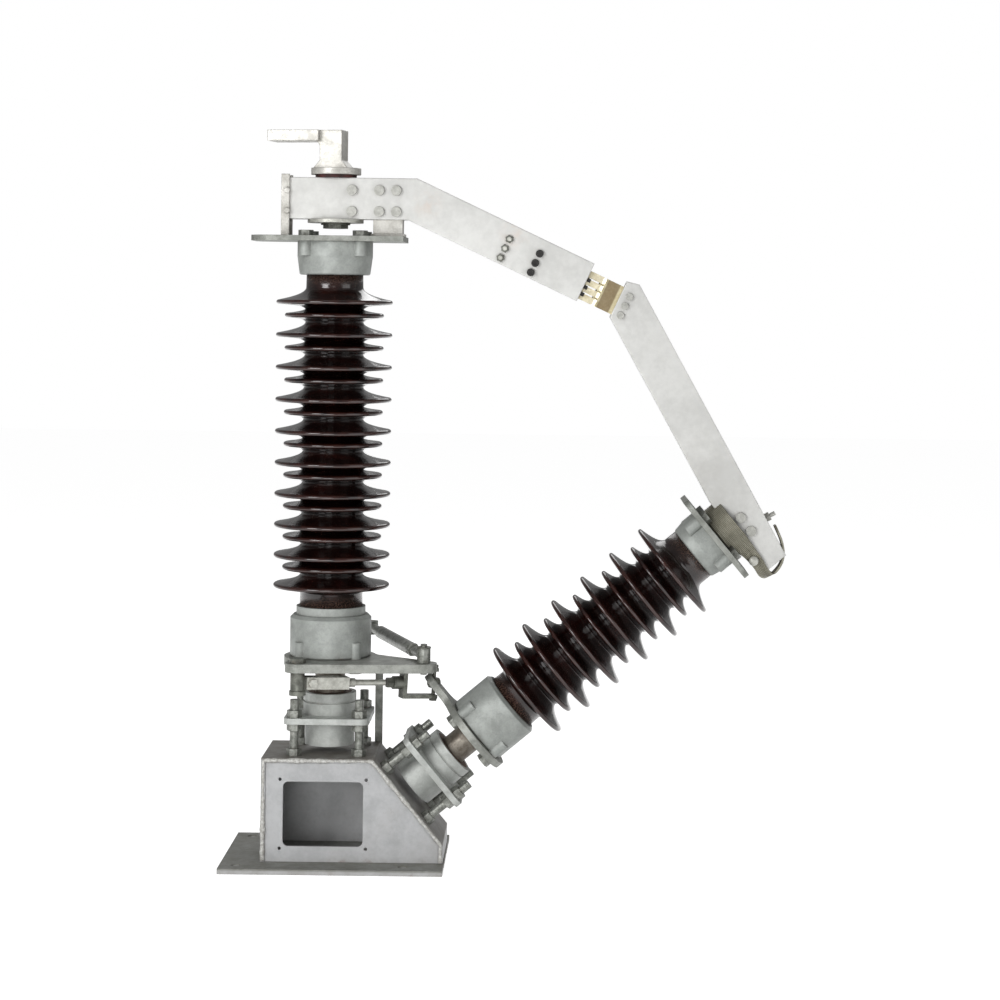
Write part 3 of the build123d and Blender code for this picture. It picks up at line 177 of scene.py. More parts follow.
class Graph:
    """The node tree of one material, from texture to Principled shader."""

    def __init__(self, name: str) -> None:
        """Start a material with a bare Principled shader.

        Args:
            name: the material's name.
        """
        self.material = bpy.data.materials.new(name)
        self.material.use_nodes = True
        self.tree = self.material.node_tree
        self.shader = self.tree.nodes["Principled BSDF"]
        self.place = self.add("ShaderNodeTexCoord", {}, {}, "Object")

    def add(
        self, kind: str, settings: dict[str, object], values: dict[object, object],
        result: object = 0,
    ) -> Signal:
        """Add one node.

        Args:
            kind: the node's type.
            settings: properties that are set first.
            values: numbers, colours or Signals, by input name or place.
            result: the output that is wanted, by name or place.

        Returns:
            The wanted output.
        """
        node = self.tree.nodes.new(kind)
        for key, value in settings.items():
            setattr(node, key, value)
        for key, value in values.items():
            if isinstance(value, Signal):
                self.tree.links.new(value.socket, node.inputs[key])
            else:
                node.inputs[key].default_value = value
        return Signal(self, node.outputs[result])

    def noise(
        self, scale: float, detail: float = 3.0, rough: float = 0.55,
        squeeze: Colour = (1.0, 1.0, 1.0),
    ) -> Signal:
        """A cloud pattern on the piece's own place.

        Args:
            scale: clouds per metre.
            detail: octaves.
            rough: share that each octave keeps.
            squeeze: scale of each axis, to draw the clouds out.

        Returns:
            A value about 0.5.
        """
        mapped = self.add("ShaderNodeMapping", {}, {"Vector": self.place, "Scale": squeeze})
        values = {"Vector": mapped, "Scale": scale, "Detail": detail, "Roughness": rough}
        return self.add("ShaderNodeTexNoise", {}, values, "Fac")

    def axis(self, name: str) -> Signal:
        """One coordinate in metres, X, Y or Z."""
        return self.add("ShaderNodeSeparateXYZ", {}, {0: self.place}, name)

    def along(self, direction: Colour, start: Colour) -> Signal:
        """Distance in metres along a direction from a start, by a dot product."""
        moved = self.add(
            "ShaderNodeVectorMath", {"operation": "SUBTRACT"}, {0: self.place, 1: start}
        )
        return self.add(
            "ShaderNodeVectorMath", {"operation": "DOT_PRODUCT"}, {0: moved, 1: direction}, "Value"
        )

    def attribute(self, name: str) -> Signal:
        """A value that the mesh carries at its points."""
        return self.add("ShaderNodeAttribute", {"attribute_name": name}, {}, "Fac")

    def recess(self, reach_mm: float) -> Signal:
        """How deep a point lies in a corner, 0 on open faces and 1 in a tight gap.

        Args:
            reach_mm: how far the corner's walls are looked for.

        Returns:
            The share.
        """
        open_share = self.add(
            "ShaderNodeAmbientOcclusion", {"samples": 6}, {"Distance": reach_mm * MM}, "AO"
        )
        return (1 - open_share).clamp()

    def blend(self, share: object, first: object, second: object) -> Signal:
        """Mix two colours.

        Args:
            share: 0 gives the first, 1 the second.
            first: a colour or a Signal.
            second: a colour or a Signal.

        Returns:
            The mixed colour.
        """
        wide = [(*c, 1.0) if isinstance(c, tuple) else c for c in (first, second)]
        values = {0: share, 6: wide[0], 7: wide[1]}
        return self.add("ShaderNodeMix", {"data_type": "RGBA"}, values, 2)

    def bump(self, height: Signal, depth_mm: float, round_mm: float = 0.0) -> None:
        """Feed a height pattern, and soft edges, into the shader's normal.

        Args:
            height: the pattern, 0 to 1.
            depth_mm: its real depth in millimetres.
            round_mm: the radius that sharp edges show.
        """
        values = {"Strength": 1.0, "Distance": depth_mm * MM, "Height": height}
        if round_mm > 0:
            values["Normal"] = self.add(
                "ShaderNodeBevel", {"samples": 6}, {"Radius": round_mm * MM}, "Normal"
            )
        self.wire("Normal", self.add("ShaderNodeBump", {}, values, "Normal"))

    def wire(self, name: str, value: object) -> None:
        """Set or link one input of the shader.

        Args:
            name: the input's name.
            value: a number, a colour or a Signal.
        """
        if isinstance(value, Signal):
            self.tree.links.new(value.socket, self.shader.inputs[name])
        elif isinstance(value, tuple):
            self.shader.inputs[name].default_value = (*value, 1.0)
        else:
            self.shader.inputs[name].default_value = value


@dataclass(frozen=True)
class Glaze:
    """Dark brown fired glaze, redder where it runs thin, with sand at the cemented ends."""

    body: Colour = linear(20, 8, 7)
    warm: Colour = linear(38, 14, 11)
    rim: Colour = linear(74, 40, 32)
    dust_and_shade: Colour = linear(104, 88, 78)
    sand: Colour = linear(112, 84, 70)

    def make(self) -> bpy.types.Material:
        """Build the material."""
        graph = Graph("brown_glaze")
        cloud = graph.noise(26.0, 4.0)
        speck = graph.noise(900.0, 2.0)
        grit = graph.attribute("sand")
        colour = graph.blend(cloud.step(0.46, 0.74), self.body, self.warm)
        thin = graph.attribute("rim") * graph.noise(45.0, 3.0).step(0.3, 0.6)
        colour = graph.blend(thin * 0.4, colour, self.rim)
        settled = graph.attribute("dust_and_shade") * speck.step(0.5, 0.68) * graph.noise(60.0).step(0.4, 0.7)
        colour = graph.blend(settled * 0.4, colour, self.dust_and_shade)
        grains = grit * graph.noise(620.0, 3.0, 0.7).step(0.48, 0.6)
        colour = graph.blend(grains * 0.75, colour, self.sand)
        graph.wire("Base Color", colour)
        rough = 0.08 + 0.1 * cloud.step(0.35, 0.8) + 0.3 * settled + 0.5 * grains
        graph.wire("Roughness", rough)
        graph.wire("Coat Weight", 0.25)
        graph.wire("Coat Roughness", 0.05)
        ripple = graph.noise(150.0, 3.0) * (1 - grit) + graph.noise(620.0, 2.0) * grit * 3
        graph.bump(ripple, 0.3)
        return graph.material


@dataclass(frozen=True)
class Metal:
    """A cloudy metal or painted surface with dirt patches, painted shade in its corners and a few
    rust marks.
    """

    name: str
    light: Colour
    dark: Colour
    metallic: float = 0.3
    rough: float = 0.5
    mottle: float = 55.0
    grime_and_shade: Colour = linear(70, 62, 54)
    grime_and_shade_share: float = 0.35
    rust_share: float = 0.0
    grain_mm: float = 0.25
    grain: float = 700.0
    round_mm: float = 1.0
    drawn: Colour = (1.0, 1.0, 1.0)

    def base(self) -> tuple[Graph, Signal]:
        """Build the node tree.

        Returns:
            The graph and its colour, which is wired already and may be blended further.
        """
        graph = Graph(self.name)
        broad = graph.noise(self.mottle, 5.0, 0.62, self.drawn)
        fine = graph.noise(self.mottle * 9, 3.0, 0.6)
        mixed = (broad * 0.75 + fine * 0.25).step(0.36, 0.64)
        colour = graph.blend(mixed, self.dark, self.light)
        patches = graph.noise(self.mottle * 0.45, 6.0, 0.7).step(0.5, 0.76)
        # Painted shade: ambient occlusion darkens corners and gaps, and with the noise patches of
        # dirt it makes one mask of dirt and painted shade.
        corner = graph.recess(14.0)
        dirt_and_shade = (patches * 0.45 + corner * (0.5 + patches)).clamp()
        colour = graph.blend(dirt_and_shade * self.grime_and_shade_share, colour, self.grime_and_shade)
        if self.rust_share > 0:
            spots = graph.noise(self.mottle * 1.7, 5.0, 0.75)
            rust = (spots + corner * 0.16).step(0.64, 0.74)
            colour = graph.blend(rust * self.rust_share, colour, linear(112, 70, 44))
        graph.wire("Base Color", colour)
        graph.wire("Metallic", self.metallic)
        graph.wire("Roughness", self.rough - 0.1 * mixed + 0.25 * dirt_and_shade)
        graph.bump(graph.noise(self.grain, 3.0, 0.6), self.grain_mm, self.round_mm)
        return graph, colour

    def make(self) -> bpy.types.Material:
        """Build the material."""
        return self.base()[0].material


@dataclass(frozen=True)
class HousingPaint(Metal):
    """Grey paint, darkened on the top and the slope by dust and painted shade."""

    top_mm: float = HOUSING_TOP_MM
    slope_mm: float = SLOPE_FACE_MM
    # Colour of dust and painted shade on the upper faces.
    dust_and_shade: Colour = linear(104, 98, 90)

    def make(self) -> bpy.types.Material:
        """Build the material; dust and painted shade lie within a millimetre or two of the two
        upper faces.
        """
        graph, colour = self.base()
        lean = math.radians(LEAN_DEG)
        top = graph.axis("Z").step((self.top_mm - 5) * MM, (self.top_mm - 1) * MM)
        start = tuple(value * MM for value in LEAN_ORIGIN_MM)
        out = graph.along((math.sin(lean), 0.0, math.cos(lean)), start)
        slope = out.step((self.slope_mm - 4) * MM, (self.slope_mm - 1) * MM)
        cloud = 0.7 + 0.3 * graph.noise(38.0, 6.0, 0.7).step(0.3, 0.62)
        # Painted shade: the top and the slope are darkened as if less lit, with clouds of dust
        # mixed in.
        top_dust_and_shade = (top + slope * 0.8).clamp() * cloud
        graph.wire("Base Color", graph.blend(top_dust_and_shade * 0.95, colour, self.dust_and_shade))
        return graph.material


@dataclass(frozen=True)
class ArmMetal(Metal):
    """Pale aluminium with faint drawn lines and a few warm smears."""

    smear: Colour = linear(206, 184, 168)
    smears_mm: tuple[tuple[float, float], ...] = ((170.0, 1205.0), (330.0, 1150.0))

    def make(self) -> bpy.types.Material:
        """Build the material; a smear is a soft cloud about one place of the arm."""
        graph, colour = self.base()
        for x, z in self.smears_mm:
            place = (x * MM, -0.025, z * MM)
            apart = graph.add(
                "ShaderNodeVectorMath", {"operation": "DISTANCE"}, {0: graph.place, 1: place},
                "Value",
            )
            near = (1 - apart.step(0.004, 0.036)) * graph.noise(45.0, 4.0, 0.6).step(0.36, 0.66)
            colour = graph.blend(near * 0.35, colour, self.smear)
        graph.wire("Base Color", colour)
        return graph.material


@dataclass(frozen=True)
class BladeMetal(Metal):
    """Contact metal that is browned between the fingers' tips and the right arm's mouth."""

    brown: Colour = linear(120, 102, 74)
    brown_mm: tuple[float, float] = (8.0, 35.0)

    def make(self) -> bpy.types.Material:
        """Build the material; the browned band is measured along the contact line."""
        graph, colour = self.base()
        drop = math.radians(CONTACT_DROP_DEG)
        start = tuple(value * MM for value in CONTACT_MM)
        run = graph.along((math.cos(drop), 0.0, -math.sin(drop)), start)
        low, high = self.brown_mm
        share = run.band(low * MM, high * MM, 3 * MM)
        stain = 0.7 + 0.3 * graph.noise(120.0, 5.0, 0.7)
        graph.wire("Base Color", graph.blend(share * stain, colour, self.brown))
        return graph.material


@dataclass(frozen=True)
class Braid(Metal):
    """Tinned wires in flat strands, which the mesh's own along and across values place."""

    strands_per_metre: float = 400.0
    plaits_per_metre: float = 330.0

    def make(self) -> bpy.types.Material:
        """Build the material; a sine across makes strands, one that slants makes their plait."""
        graph, colour = self.base()
        along = graph.attribute("along")
        across = graph.attribute("across")
        turn = {"operation": "SINE"}
        strand_turns = across * (2 * math.pi * self.strands_per_metre)
        strand = graph.add("ShaderNodeMath", turn, {0: strand_turns}) * 0.5 + 0.5
        plait_turns = along * (2 * math.pi * self.plaits_per_metre) + strand_turns * 2
        plait = graph.add("ShaderNodeMath", turn, {0: plait_turns}) * 0.5 + 0.5
        depth = strand.step(0.0, 0.7) * (0.72 + 0.28 * plait)
        # Painted shade: the gaps between the strands are darkened towards the grime-and-shade
        # colour.
        graph.wire("Base Color", graph.blend((1 - depth) * 0.85, colour, self.grime_and_shade))
        graph.bump(depth, 0.7)
        return graph.material


FINISHES: dict[Finish, bpy.types.Material] = {}


class Finish(Enum):
    """Every metal, paint and rubber finish of the pole."""

    HOUSING = HousingPaint("housing_paint", linear(184, 185, 186), linear(168, 169, 170), 0.05,
                           0.5, 16.0, linear(112, 100, 88), 0.4, 0.3, 0.2, 420.0, 1.5)
    # Paler than the housing paint: weld paint with a painted highlight along the edge ridge.
    WELD_AND_HIGHLIGHT = Metal("weld_paint_and_highlight", linear(212, 212, 208), linear(160, 158, 152), 0.1, 0.45, 190.0,
                 linear(104, 96, 86), 0.5, 0.1, 0.5, 260.0, 0.6)
    # Darkens the base plate's top face with dust and painted shade.
    BASE = HousingPaint("base_paint", linear(182, 183, 184), linear(162, 162, 160), 0.05, 0.55,
                        14.0, linear(120, 104, 90), 0.5, 0.35, 0.2, 420.0, top_mm=10.0,
                        slope_mm=9999.0, dust_and_shade=linear(112, 112, 104))
    CASTING = Metal("zinc_casting", linear(166, 170, 166), linear(146, 150, 146), 0.2, 0.52, 30.0,
                    linear(84, 82, 74), 0.6, 0.2, 0.6, 300.0, 2.0)
    BEARING = Metal("bearing_paint", linear(186, 189, 185), linear(164, 167, 163), 0.15, 0.5,
                    36.0, linear(80, 76, 68), 0.6, 0.2, 0.4, 300.0, 1.5)
    FORGING = Metal("zinc_plate", linear(152, 154, 148), linear(122, 124, 118), 0.3, 0.5, 45.0,
                    linear(64, 60, 52), 0.6, 0.35, 0.3, 480.0)
    BOLT = Metal("zinc_bolt", linear(146, 148, 142), linear(100, 102, 96), 0.45, 0.4, 120.0,
                 linear(64, 58, 50), 0.6, 0.3, 0.12, 900.0, 0.7)
    DARK = Metal("dark_steel", linear(122, 124, 116), linear(84, 85, 78), 0.35, 0.5, 80.0,
                 linear(38, 32, 26), 0.6, 0.5, 0.25, 600.0, 0.8)
    BLACK = Metal("black_steel", linear(44, 42, 40), linear(22, 21, 20), 0.3, 0.45, 120.0,
                  linear(12, 11, 10), 0.6, 0.0, 0.1, 900.0, 0.6)
    PALE = Metal("pale_zinc", linear(206, 206, 198), linear(172, 172, 164), 0.3, 0.45, 90.0,
                 linear(84, 76, 64), 0.6, 0.3, 0.2, 700.0, 0.8)
    ALUMINIUM = ArmMetal("satin_aluminium", linear(214, 214, 211), linear(196, 196, 193), 0.25,
                         0.42, 9.0, linear(120, 112, 104), 0.45, 0.0, 0.08, 600.0, 3.0)
    CAST_ALUMINIUM = Metal("cast_aluminium", linear(210, 208, 202), linear(178, 176, 169), 0.3,
                           0.42, 34.0, linear(118, 110, 98), 0.45, 0.0, 0.4, 320.0, 3.0)
    ARM_BOLT = Metal("arm_bolt", linear(186, 186, 180), linear(158, 158, 152), 0.35, 0.4, 150.0,
                     linear(96, 90, 80), 0.5, 0.1, 0.1, 900.0, 1.0)
    FINGER = Metal("contact_silver", linear(224, 216, 190), linear(198, 188, 156), 0.5, 0.4, 70.0,
                   linear(82, 68, 42), 0.6, 0.0, 0.1, 600.0, 0.5)
    BLADE = BladeMetal("contact_brass", linear(220, 210, 176), linear(196, 184, 146), 0.5, 0.4,
                       80.0, linear(82, 68, 42), 0.5, 0.0, 0.1, 600.0, 0.8)
    SHAFT = Metal("worn_shaft", linear(128, 122, 112), linear(86, 78, 68), 0.45, 0.45, 60.0,
                  linear(58, 42, 32), 0.6, 0.6, 0.15, 600.0)
    RUBBER = Metal("red_gasket", linear(74, 26, 24), linear(36, 16, 15), 0.0, 0.7, 60.0,
                   linear(30, 24, 22), 0.5, 0.0, 0.2, 500.0)
    SEAL = Metal("seal_ring", linear(108, 78, 60), linear(70, 50, 40), 0.0, 0.7, 60.0,
                 linear(48, 40, 34), 0.5, 0.4, 0.2, 500.0)
    BRAID = Braid("tinned_braid", linear(178, 175, 158), linear(156, 153, 136), 0.4, 0.45, 60.0,
                  linear(66, 62, 50), 0.6, 0.0, 0.3, 900.0)
    GLAZE = Glaze()

    def material(self) -> bpy.types.Material:
        """The finish's material, built once."""
        if self not in FINISHES:
            FINISHES[self] = self.value.make()
        return FINISHES[self]


NODE_FINISH: dict[Finish, tuple[str, ...]] = {
    Finish.HOUSING: ("housing_wrap", "housing_front", "housing_back"),
    Finish.BASE: ("base_plate",),
    Finish.BEARING: ("left_bearing_housing", "right_bearing_housing"),
    Finish.CASTING: (
        "left_bottom_fitting", "left_bottom_collar", "right_bottom_fitting", "left_top_cap",
        "right_top_cap",
    ),
    Finish.FORGING: (
        "left_lever", "right_lever", "left_top_plate", "right_top_plate", "stop_bar",
        "right_arm_hub",
    ),
    Finish.BOLT: (
        "left_bearing_studs", "right_bearing_studs", "left_bearing_nuts", "right_bearing_nuts",
        "left_lower_bolts", "right_lower_bolts", "left_upper_bolts", "right_upper_bolts",
        "drive_pin", "drive_link_front_eye", "drive_link_nut", "drive_link_tube",
        "drive_link_rear_eye",
    ),
    Finish.PALE: (
        "cross_link_fork", "cross_link_fork_bolt", "cross_link_rod", "terminal_thrust_washer",
    ),
    Finish.DARK: (
        "cross_link_swivel", "cross_link_pin", "cross_link_clevis", "cross_link_eye_ball",
        "cross_link_eye_bolt", "cross_link_nut", "terminal_nut",
    ),
    Finish.ALUMINIUM: ("left_arm", "right_arm"),
    Finish.CAST_ALUMINIUM: ("terminal", "left_arm_post", "left_end_bracket", "finger_spacer"),
    Finish.ARM_BOLT: ("left_arm_bolts", "right_arm_bolts"),
    Finish.FINGER: ("contact_fingers",),
    Finish.BLADE: ("contact_blade",),
    Finish.SHAFT: ("left_shaft", "right_shaft"),
    Finish.RUBBER: ("upper_gasket",),
    Finish.SEAL: ("left_bearing_seal", "right_bearing_seal"),
}


@dataclass(frozen=True)
class Placing:
    """Where a sub-assembly stands in the frame: an origin and three unit axes."""

    origin: Colour = (0.0, 0.0, 0.0)
    axes: tuple[Colour, Colour, Colour] = ((1.0, 0.0, 0.0), (0.0, 1.0, 0.0), (0.0, 0.0, 1.0))

    def out(self, points: Array) -> Array:
        """Carry points from the placing's own millimetres into the frame's."""
        return np.array(self.origin) + points @ np.array(self.axes)


def tilted(origin: Colour, lean_deg: float) -> Placing:
    """A placing whose Z axis leans towards +X.

    Args:
        origin: its origin in millimetres.
        lean_deg: the angle from upright.

    Returns:
        The placing.
    """
    cosine, sine = math.cos(math.radians(lean_deg)), math.sin(math.radians(lean_deg))
    return Placing(origin, ((cosine, 0.0, -sine), (0.0, 1.0, 0.0), (sine, 0.0, cosine)))


UPRIGHT = Placing()
LEANING = tilted(LEAN_ORIGIN_MM, LEAN_DEG)
CONTACT = tilted(CONTACT_MM, CONTACT_DROP_DEG)


@dataclass
class Shape:
    """Points in millimetres and the faces that join them."""

    points: Array
    faces: list[list[int]]
    values: dict[str, Array] = field(default_factory=dict)

    def copies(self, spots: list[tuple[float, float, float]]) -> Shape:
        """Repeat the shape at each spot."""
        count = len(self.points)
        points = (self.points[None] + np.array(spots)[:, None]).reshape(-1, 3)
        faces = [[i + count * k for i in face] for k in range(len(spots)) for face in self.faces]
        return Shape(points, faces)

    def facing_front(self) -> Shape:
        """Turn the shape's Z axis to -Y; X stays."""
        x, y, z = self.points.T
        return Shape(np.stack([x, -z, y], 1), self.faces, self.values)

    def piece(
        self, name: str, finish: Finish, body: str, placing: Placing = UPRIGHT,
        smooth: bool = True,
    ) -> bpy.types.Object:
        """Put the shape into the scene as one object that rides on a body.

        Args:
            name: the object's name.
            finish: its finish.
            body: the body that carries it.
            placing: where its millimetres are counted from.
            smooth: whether its faces are shaded smooth.

        Returns:
            The object.
        """
        mesh = bpy.data.meshes.new(name)
        mesh.from_pydata((placing.out(self.points) * MM).tolist(), [], self.faces)
        mesh.polygons.foreach_set("use_smooth", [smooth] * len(mesh.polygons))
        for key, numbers in self.values.items():
            layer = mesh.attributes.new(key, "FLOAT", "POINT")
            layer.data.foreach_set("value", numbers.astype(np.float32))
        mesh.materials.append(finish.material())
        made = bpy.data.objects.new(name, mesh)
        bpy.context.collection.objects.link(made)
        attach(made, body)
        LOG.info("%s: %d points, %d faces", name, len(self.points), len(self.faces))
        return made


def joined(shapes: list[Shape]) -> Shape:
    """Put several shapes side by side in one."""
    starts = np.cumsum([0] + [len(shape.points) for shape in shapes[:-1]])
    faces = [
        [i + int(start) for i in face]
        for start, shape in zip(starts, shapes, strict=True)
        for face in shape.faces
    ]
    return Shape(np.concatenate([shape.points for shape in shapes]), faces)


def grid_faces(rows: int, columns: int, ring: bool) -> list[list[int]]:
    """Quads between the points of a grid whose columns close on themselves.

    Args:
        rows: how many rows of points.
        columns: how many points a row has.
        ring: whether the last row joins the first.

    Returns:
        The quads, facing outward where rows rise and columns run counter-clockwise.
    """
    row = np.arange(rows if ring else rows - 1)[:, None]
    column = np.arange(columns)[None, :]
    after, beside = (row + 1) % rows, (column + 1) % columns
    quads = np.stack(
        [
            row * columns + column, row * columns + beside, after * columns + beside,
            after * columns + column,
        ],
        -1,
    )
    return quads.reshape(-1, 4).tolist()


def capped(rows: int, columns: int) -> list[list[int]]:
    """The faces of a grid tube that is closed by one face at each end."""
    first = list(range(columns))[::-1]
    last = list(range((rows - 1) * columns, rows * columns))
    return [*grid_faces(rows, columns, False), first, last]


def turned(rings: list[tuple[float, float]], sides: int) -> Shape:
    """A solid with flat ends whose outline is a list of (radius, height) rings.

    Args:
        rings: the outline from bottom to top.
        sides: how many sides it has, 6 for a nut.

    Returns:
        The shape about its own Z axis.
    """
    radius, height = np.array(rings).T[:, :, None]
    turn = np.arange(sides)[None] * 2 * np.pi / sides
    points = np.stack([radius * np.cos(turn), radius * np.sin(turn), height + 0 * turn], -1)
    return Shape(points.reshape(-1, 3), capped(len(rings), sides))


def thread(radius: float, low: float, high: float, pitch: float, sides: int = 14) -> Shape:
    """A threaded length: the radius is a triangle wave of height over pitch less the turn.

    Args:
        radius: of the thread's crests.
        low: where it starts.
        high: where it ends.
        pitch: height of one turn.
        sides: points of one turn.

    Returns:
        The shape about its own Z axis, with six rows of points to each pitch.
    """
    height = np.linspace(low, high, int((high - low) / pitch * 6) + 1)[:, None]
    share = np.arange(sides)[None] / sides
    wave = np.abs(((height / pitch - share) % 1) * 2 - 1)
    wide = radius - 0.55 * pitch * wave
    turn = share * 2 * np.pi
    points = np.stack([wide * np.cos(turn), wide * np.sin(turn), height + 0 * turn], -1)
    return Shape(points.reshape(-1, 3), capped(len(height), sides))


def block(half: tuple[float, float, float]) -> Shape:
    """A box about its middle, from half its three sides."""
    points = [(x, y, z) for z in (-1, 1) for x, y in ((-1, -1), (1, -1), (1, 1), (-1, 1))]
    return Shape(np.array(points) * np.array(half), capped(2, 4))


def softened(points: Array, passes: int) -> Array:
    """Round a line's corners by replacing each point with the mean of itself and its neighbours.

    Args:
        points: the line, evenly and closely spaced, whose ends stay.
        passes: how many times it is averaged.

    Returns:
        The rounded line.
    """
    for _ in range(passes):
        points[1:-1] = (points[:-2] + points[1:-1] + points[2:]) / 3
    return points


def spaced(points: Array, step: float) -> Array:
    """Read a line of corner points, and what they carry, at even steps.

    Args:
        points: the corners; columns after the third ride along.
        step: the distance between two points of the result.

    Returns:
        The close points.
    """
    runs = np.linalg.norm(np.diff(points[:, :3], axis=0), axis=1)
    reach = np.concatenate([[0.0], np.cumsum(runs)])
    wanted = np.linspace(0.0, reach[-1], int(reach[-1] / step) + 1)
    return np.stack([np.interp(wanted, reach, column) for column in points.T], 1)


def unit(vectors: Array) -> Array:
    """Each row made one long."""
    return vectors / np.linalg.norm(vectors, axis=1, keepdims=True)


@dataclass(frozen=True)
class Insulator:
    """One porcelain with its sheds, glazed all over and sanded at the cemented ends, in mm."""

    name: str
    body: str
    placing: Placing
    low: float
    high: float
    root_radius: float
    neck_radius: float
    sheds: tuple[tuple[float, float], ...]
    rim: float = 4.0
    shed_height: float = 24.0
    under_slope: float = 3.4
    under_fillet: float = 6.5
    root_gap: float = 11.0
    head_gap: float = 12.0
    rim_half_turn_deg: float = 75.0
    bore: float = 20.0
    columns: int = 112
    sanded_head: float = 20.0
    sanded_foot: float = 9.0

    def core(self, height: float) -> float:
        """The core's radius at a height."""
        share = (height - self.low) / (self.high - self.low)
        return self.root_radius + (self.neck_radius - self.root_radius) * share

    def outline(self) -> Array:
        """Work out rows of (radius, height, rim, dust) from the foot to the head.

        Each shed has a slightly hollow underside, a rim that is half a circle, and an upper side
        whose radius falls with the 2.3rd power of the height that is left.
        """
        rows = [np.array([[self.bore, self.low, 0, 0], [self.core(self.low), self.low, 0, 0]])]
        sheds = sorted(self.sheds)
        ceilings = [height - self.root_gap for height, _ in sheds[1:]]
        ceilings.append(self.high - self.head_gap)
        for (height, radius), ceiling in zip(sheds, ceilings, strict=True):
            core = self.core(height)
            reach = radius - self.rim - core
            share = np.linspace(1.0, 0.0, 10)[:, None]
            falling = height - self.rim - self.under_slope * share - self.under_fillet * share**7
            under = np.hstack([core + reach * (1 - share), falling])
            half_turn = self.rim_half_turn_deg
            turn = np.radians(np.linspace(-half_turn, half_turn, 7))[:, None]
            lip = np.hstack([
                radius - self.rim + self.rim * np.cos(turn), height + self.rim * np.sin(turn)
            ])
            left = np.linspace(1.0, 0.0, 13)[:, None]
            rise = min(self.shed_height, ceiling - height - self.rim)
            upper = np.hstack([core + reach * left**2.3, height + self.rim + rise * (1 - left)])
            rows.append(np.hstack([under, 0 * under]))
            rows.append(np.hstack([lip, np.ones_like(turn), 0 * turn]))
            rows.append(np.hstack([upper, 0.8 * left**12, 1 - left]))
        head = [[self.core(self.high), self.high, 0, 0], [self.bore, self.high, 0, 0]]
        rows.append(np.array(head))
        return np.concatenate(rows)

    def build(self, node: str) -> None:
        """Turn the outline round the axis and let it stand for its node."""
        radius, height, rim, dust_and_shade = self.outline().T[:, :, None]
        turn = np.arange(self.columns)[None] * 2 * np.pi / self.columns
        points = np.stack([radius * np.cos(turn), radius * np.sin(turn), height + 0 * turn], -1)
        ends = (height > self.high - self.sanded_head) | (height < self.low + self.sanded_foot)
        spread = {
            key: np.repeat(value, self.columns, 1).ravel()
            for key, value in (("rim", rim), ("dust_and_shade", dust_and_shade), ("sand", ends * 1.0))
        }
        faces = grid_faces(len(radius), self.columns, True)
        shape = Shape(points.reshape(-1, 3), faces, spread)
        made = shape.piece(self.name, Finish.GLAZE, self.body, self.placing)
        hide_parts(node)


@dataclass(frozen=True)
class ShedRow:
    """A row of wide sheds with a narrow one between each two."""

    first: float
    count: int
    pitch: float
    wide: float
    narrow: float
    narrow_share: float
    pitch_loss: float = 0.0

    def sheds(self) -> tuple[tuple[float, float], ...]:
        """Work out (height, radius) of each shed.

        A pitch below zero counts downward from the first shed, and pitch_loss is the share by
        which each pitch is less than the first one.

        Returns:
            The sheds, in the order in which they are counted.
        """
        found: list[tuple[float, float]] = []
        height = self.first
        for step in range(self.count):
            pitch = self.pitch * (1 - self.pitch_loss * step)
            found.append((height, self.wide))
            if step < self.count - 1:
                found.append((height + pitch * self.narrow_share, self.narrow))
            height += pitch
        return tuple(found)


LEFT_SHEDS = ShedRow(1022.6, 10, -60.4, 106.8, 91.0, 0.404, 0.0106)
RIGHT_SHEDS = ShedRow(474.3, 6, 69.1, 97.0, 80.2, 0.54)


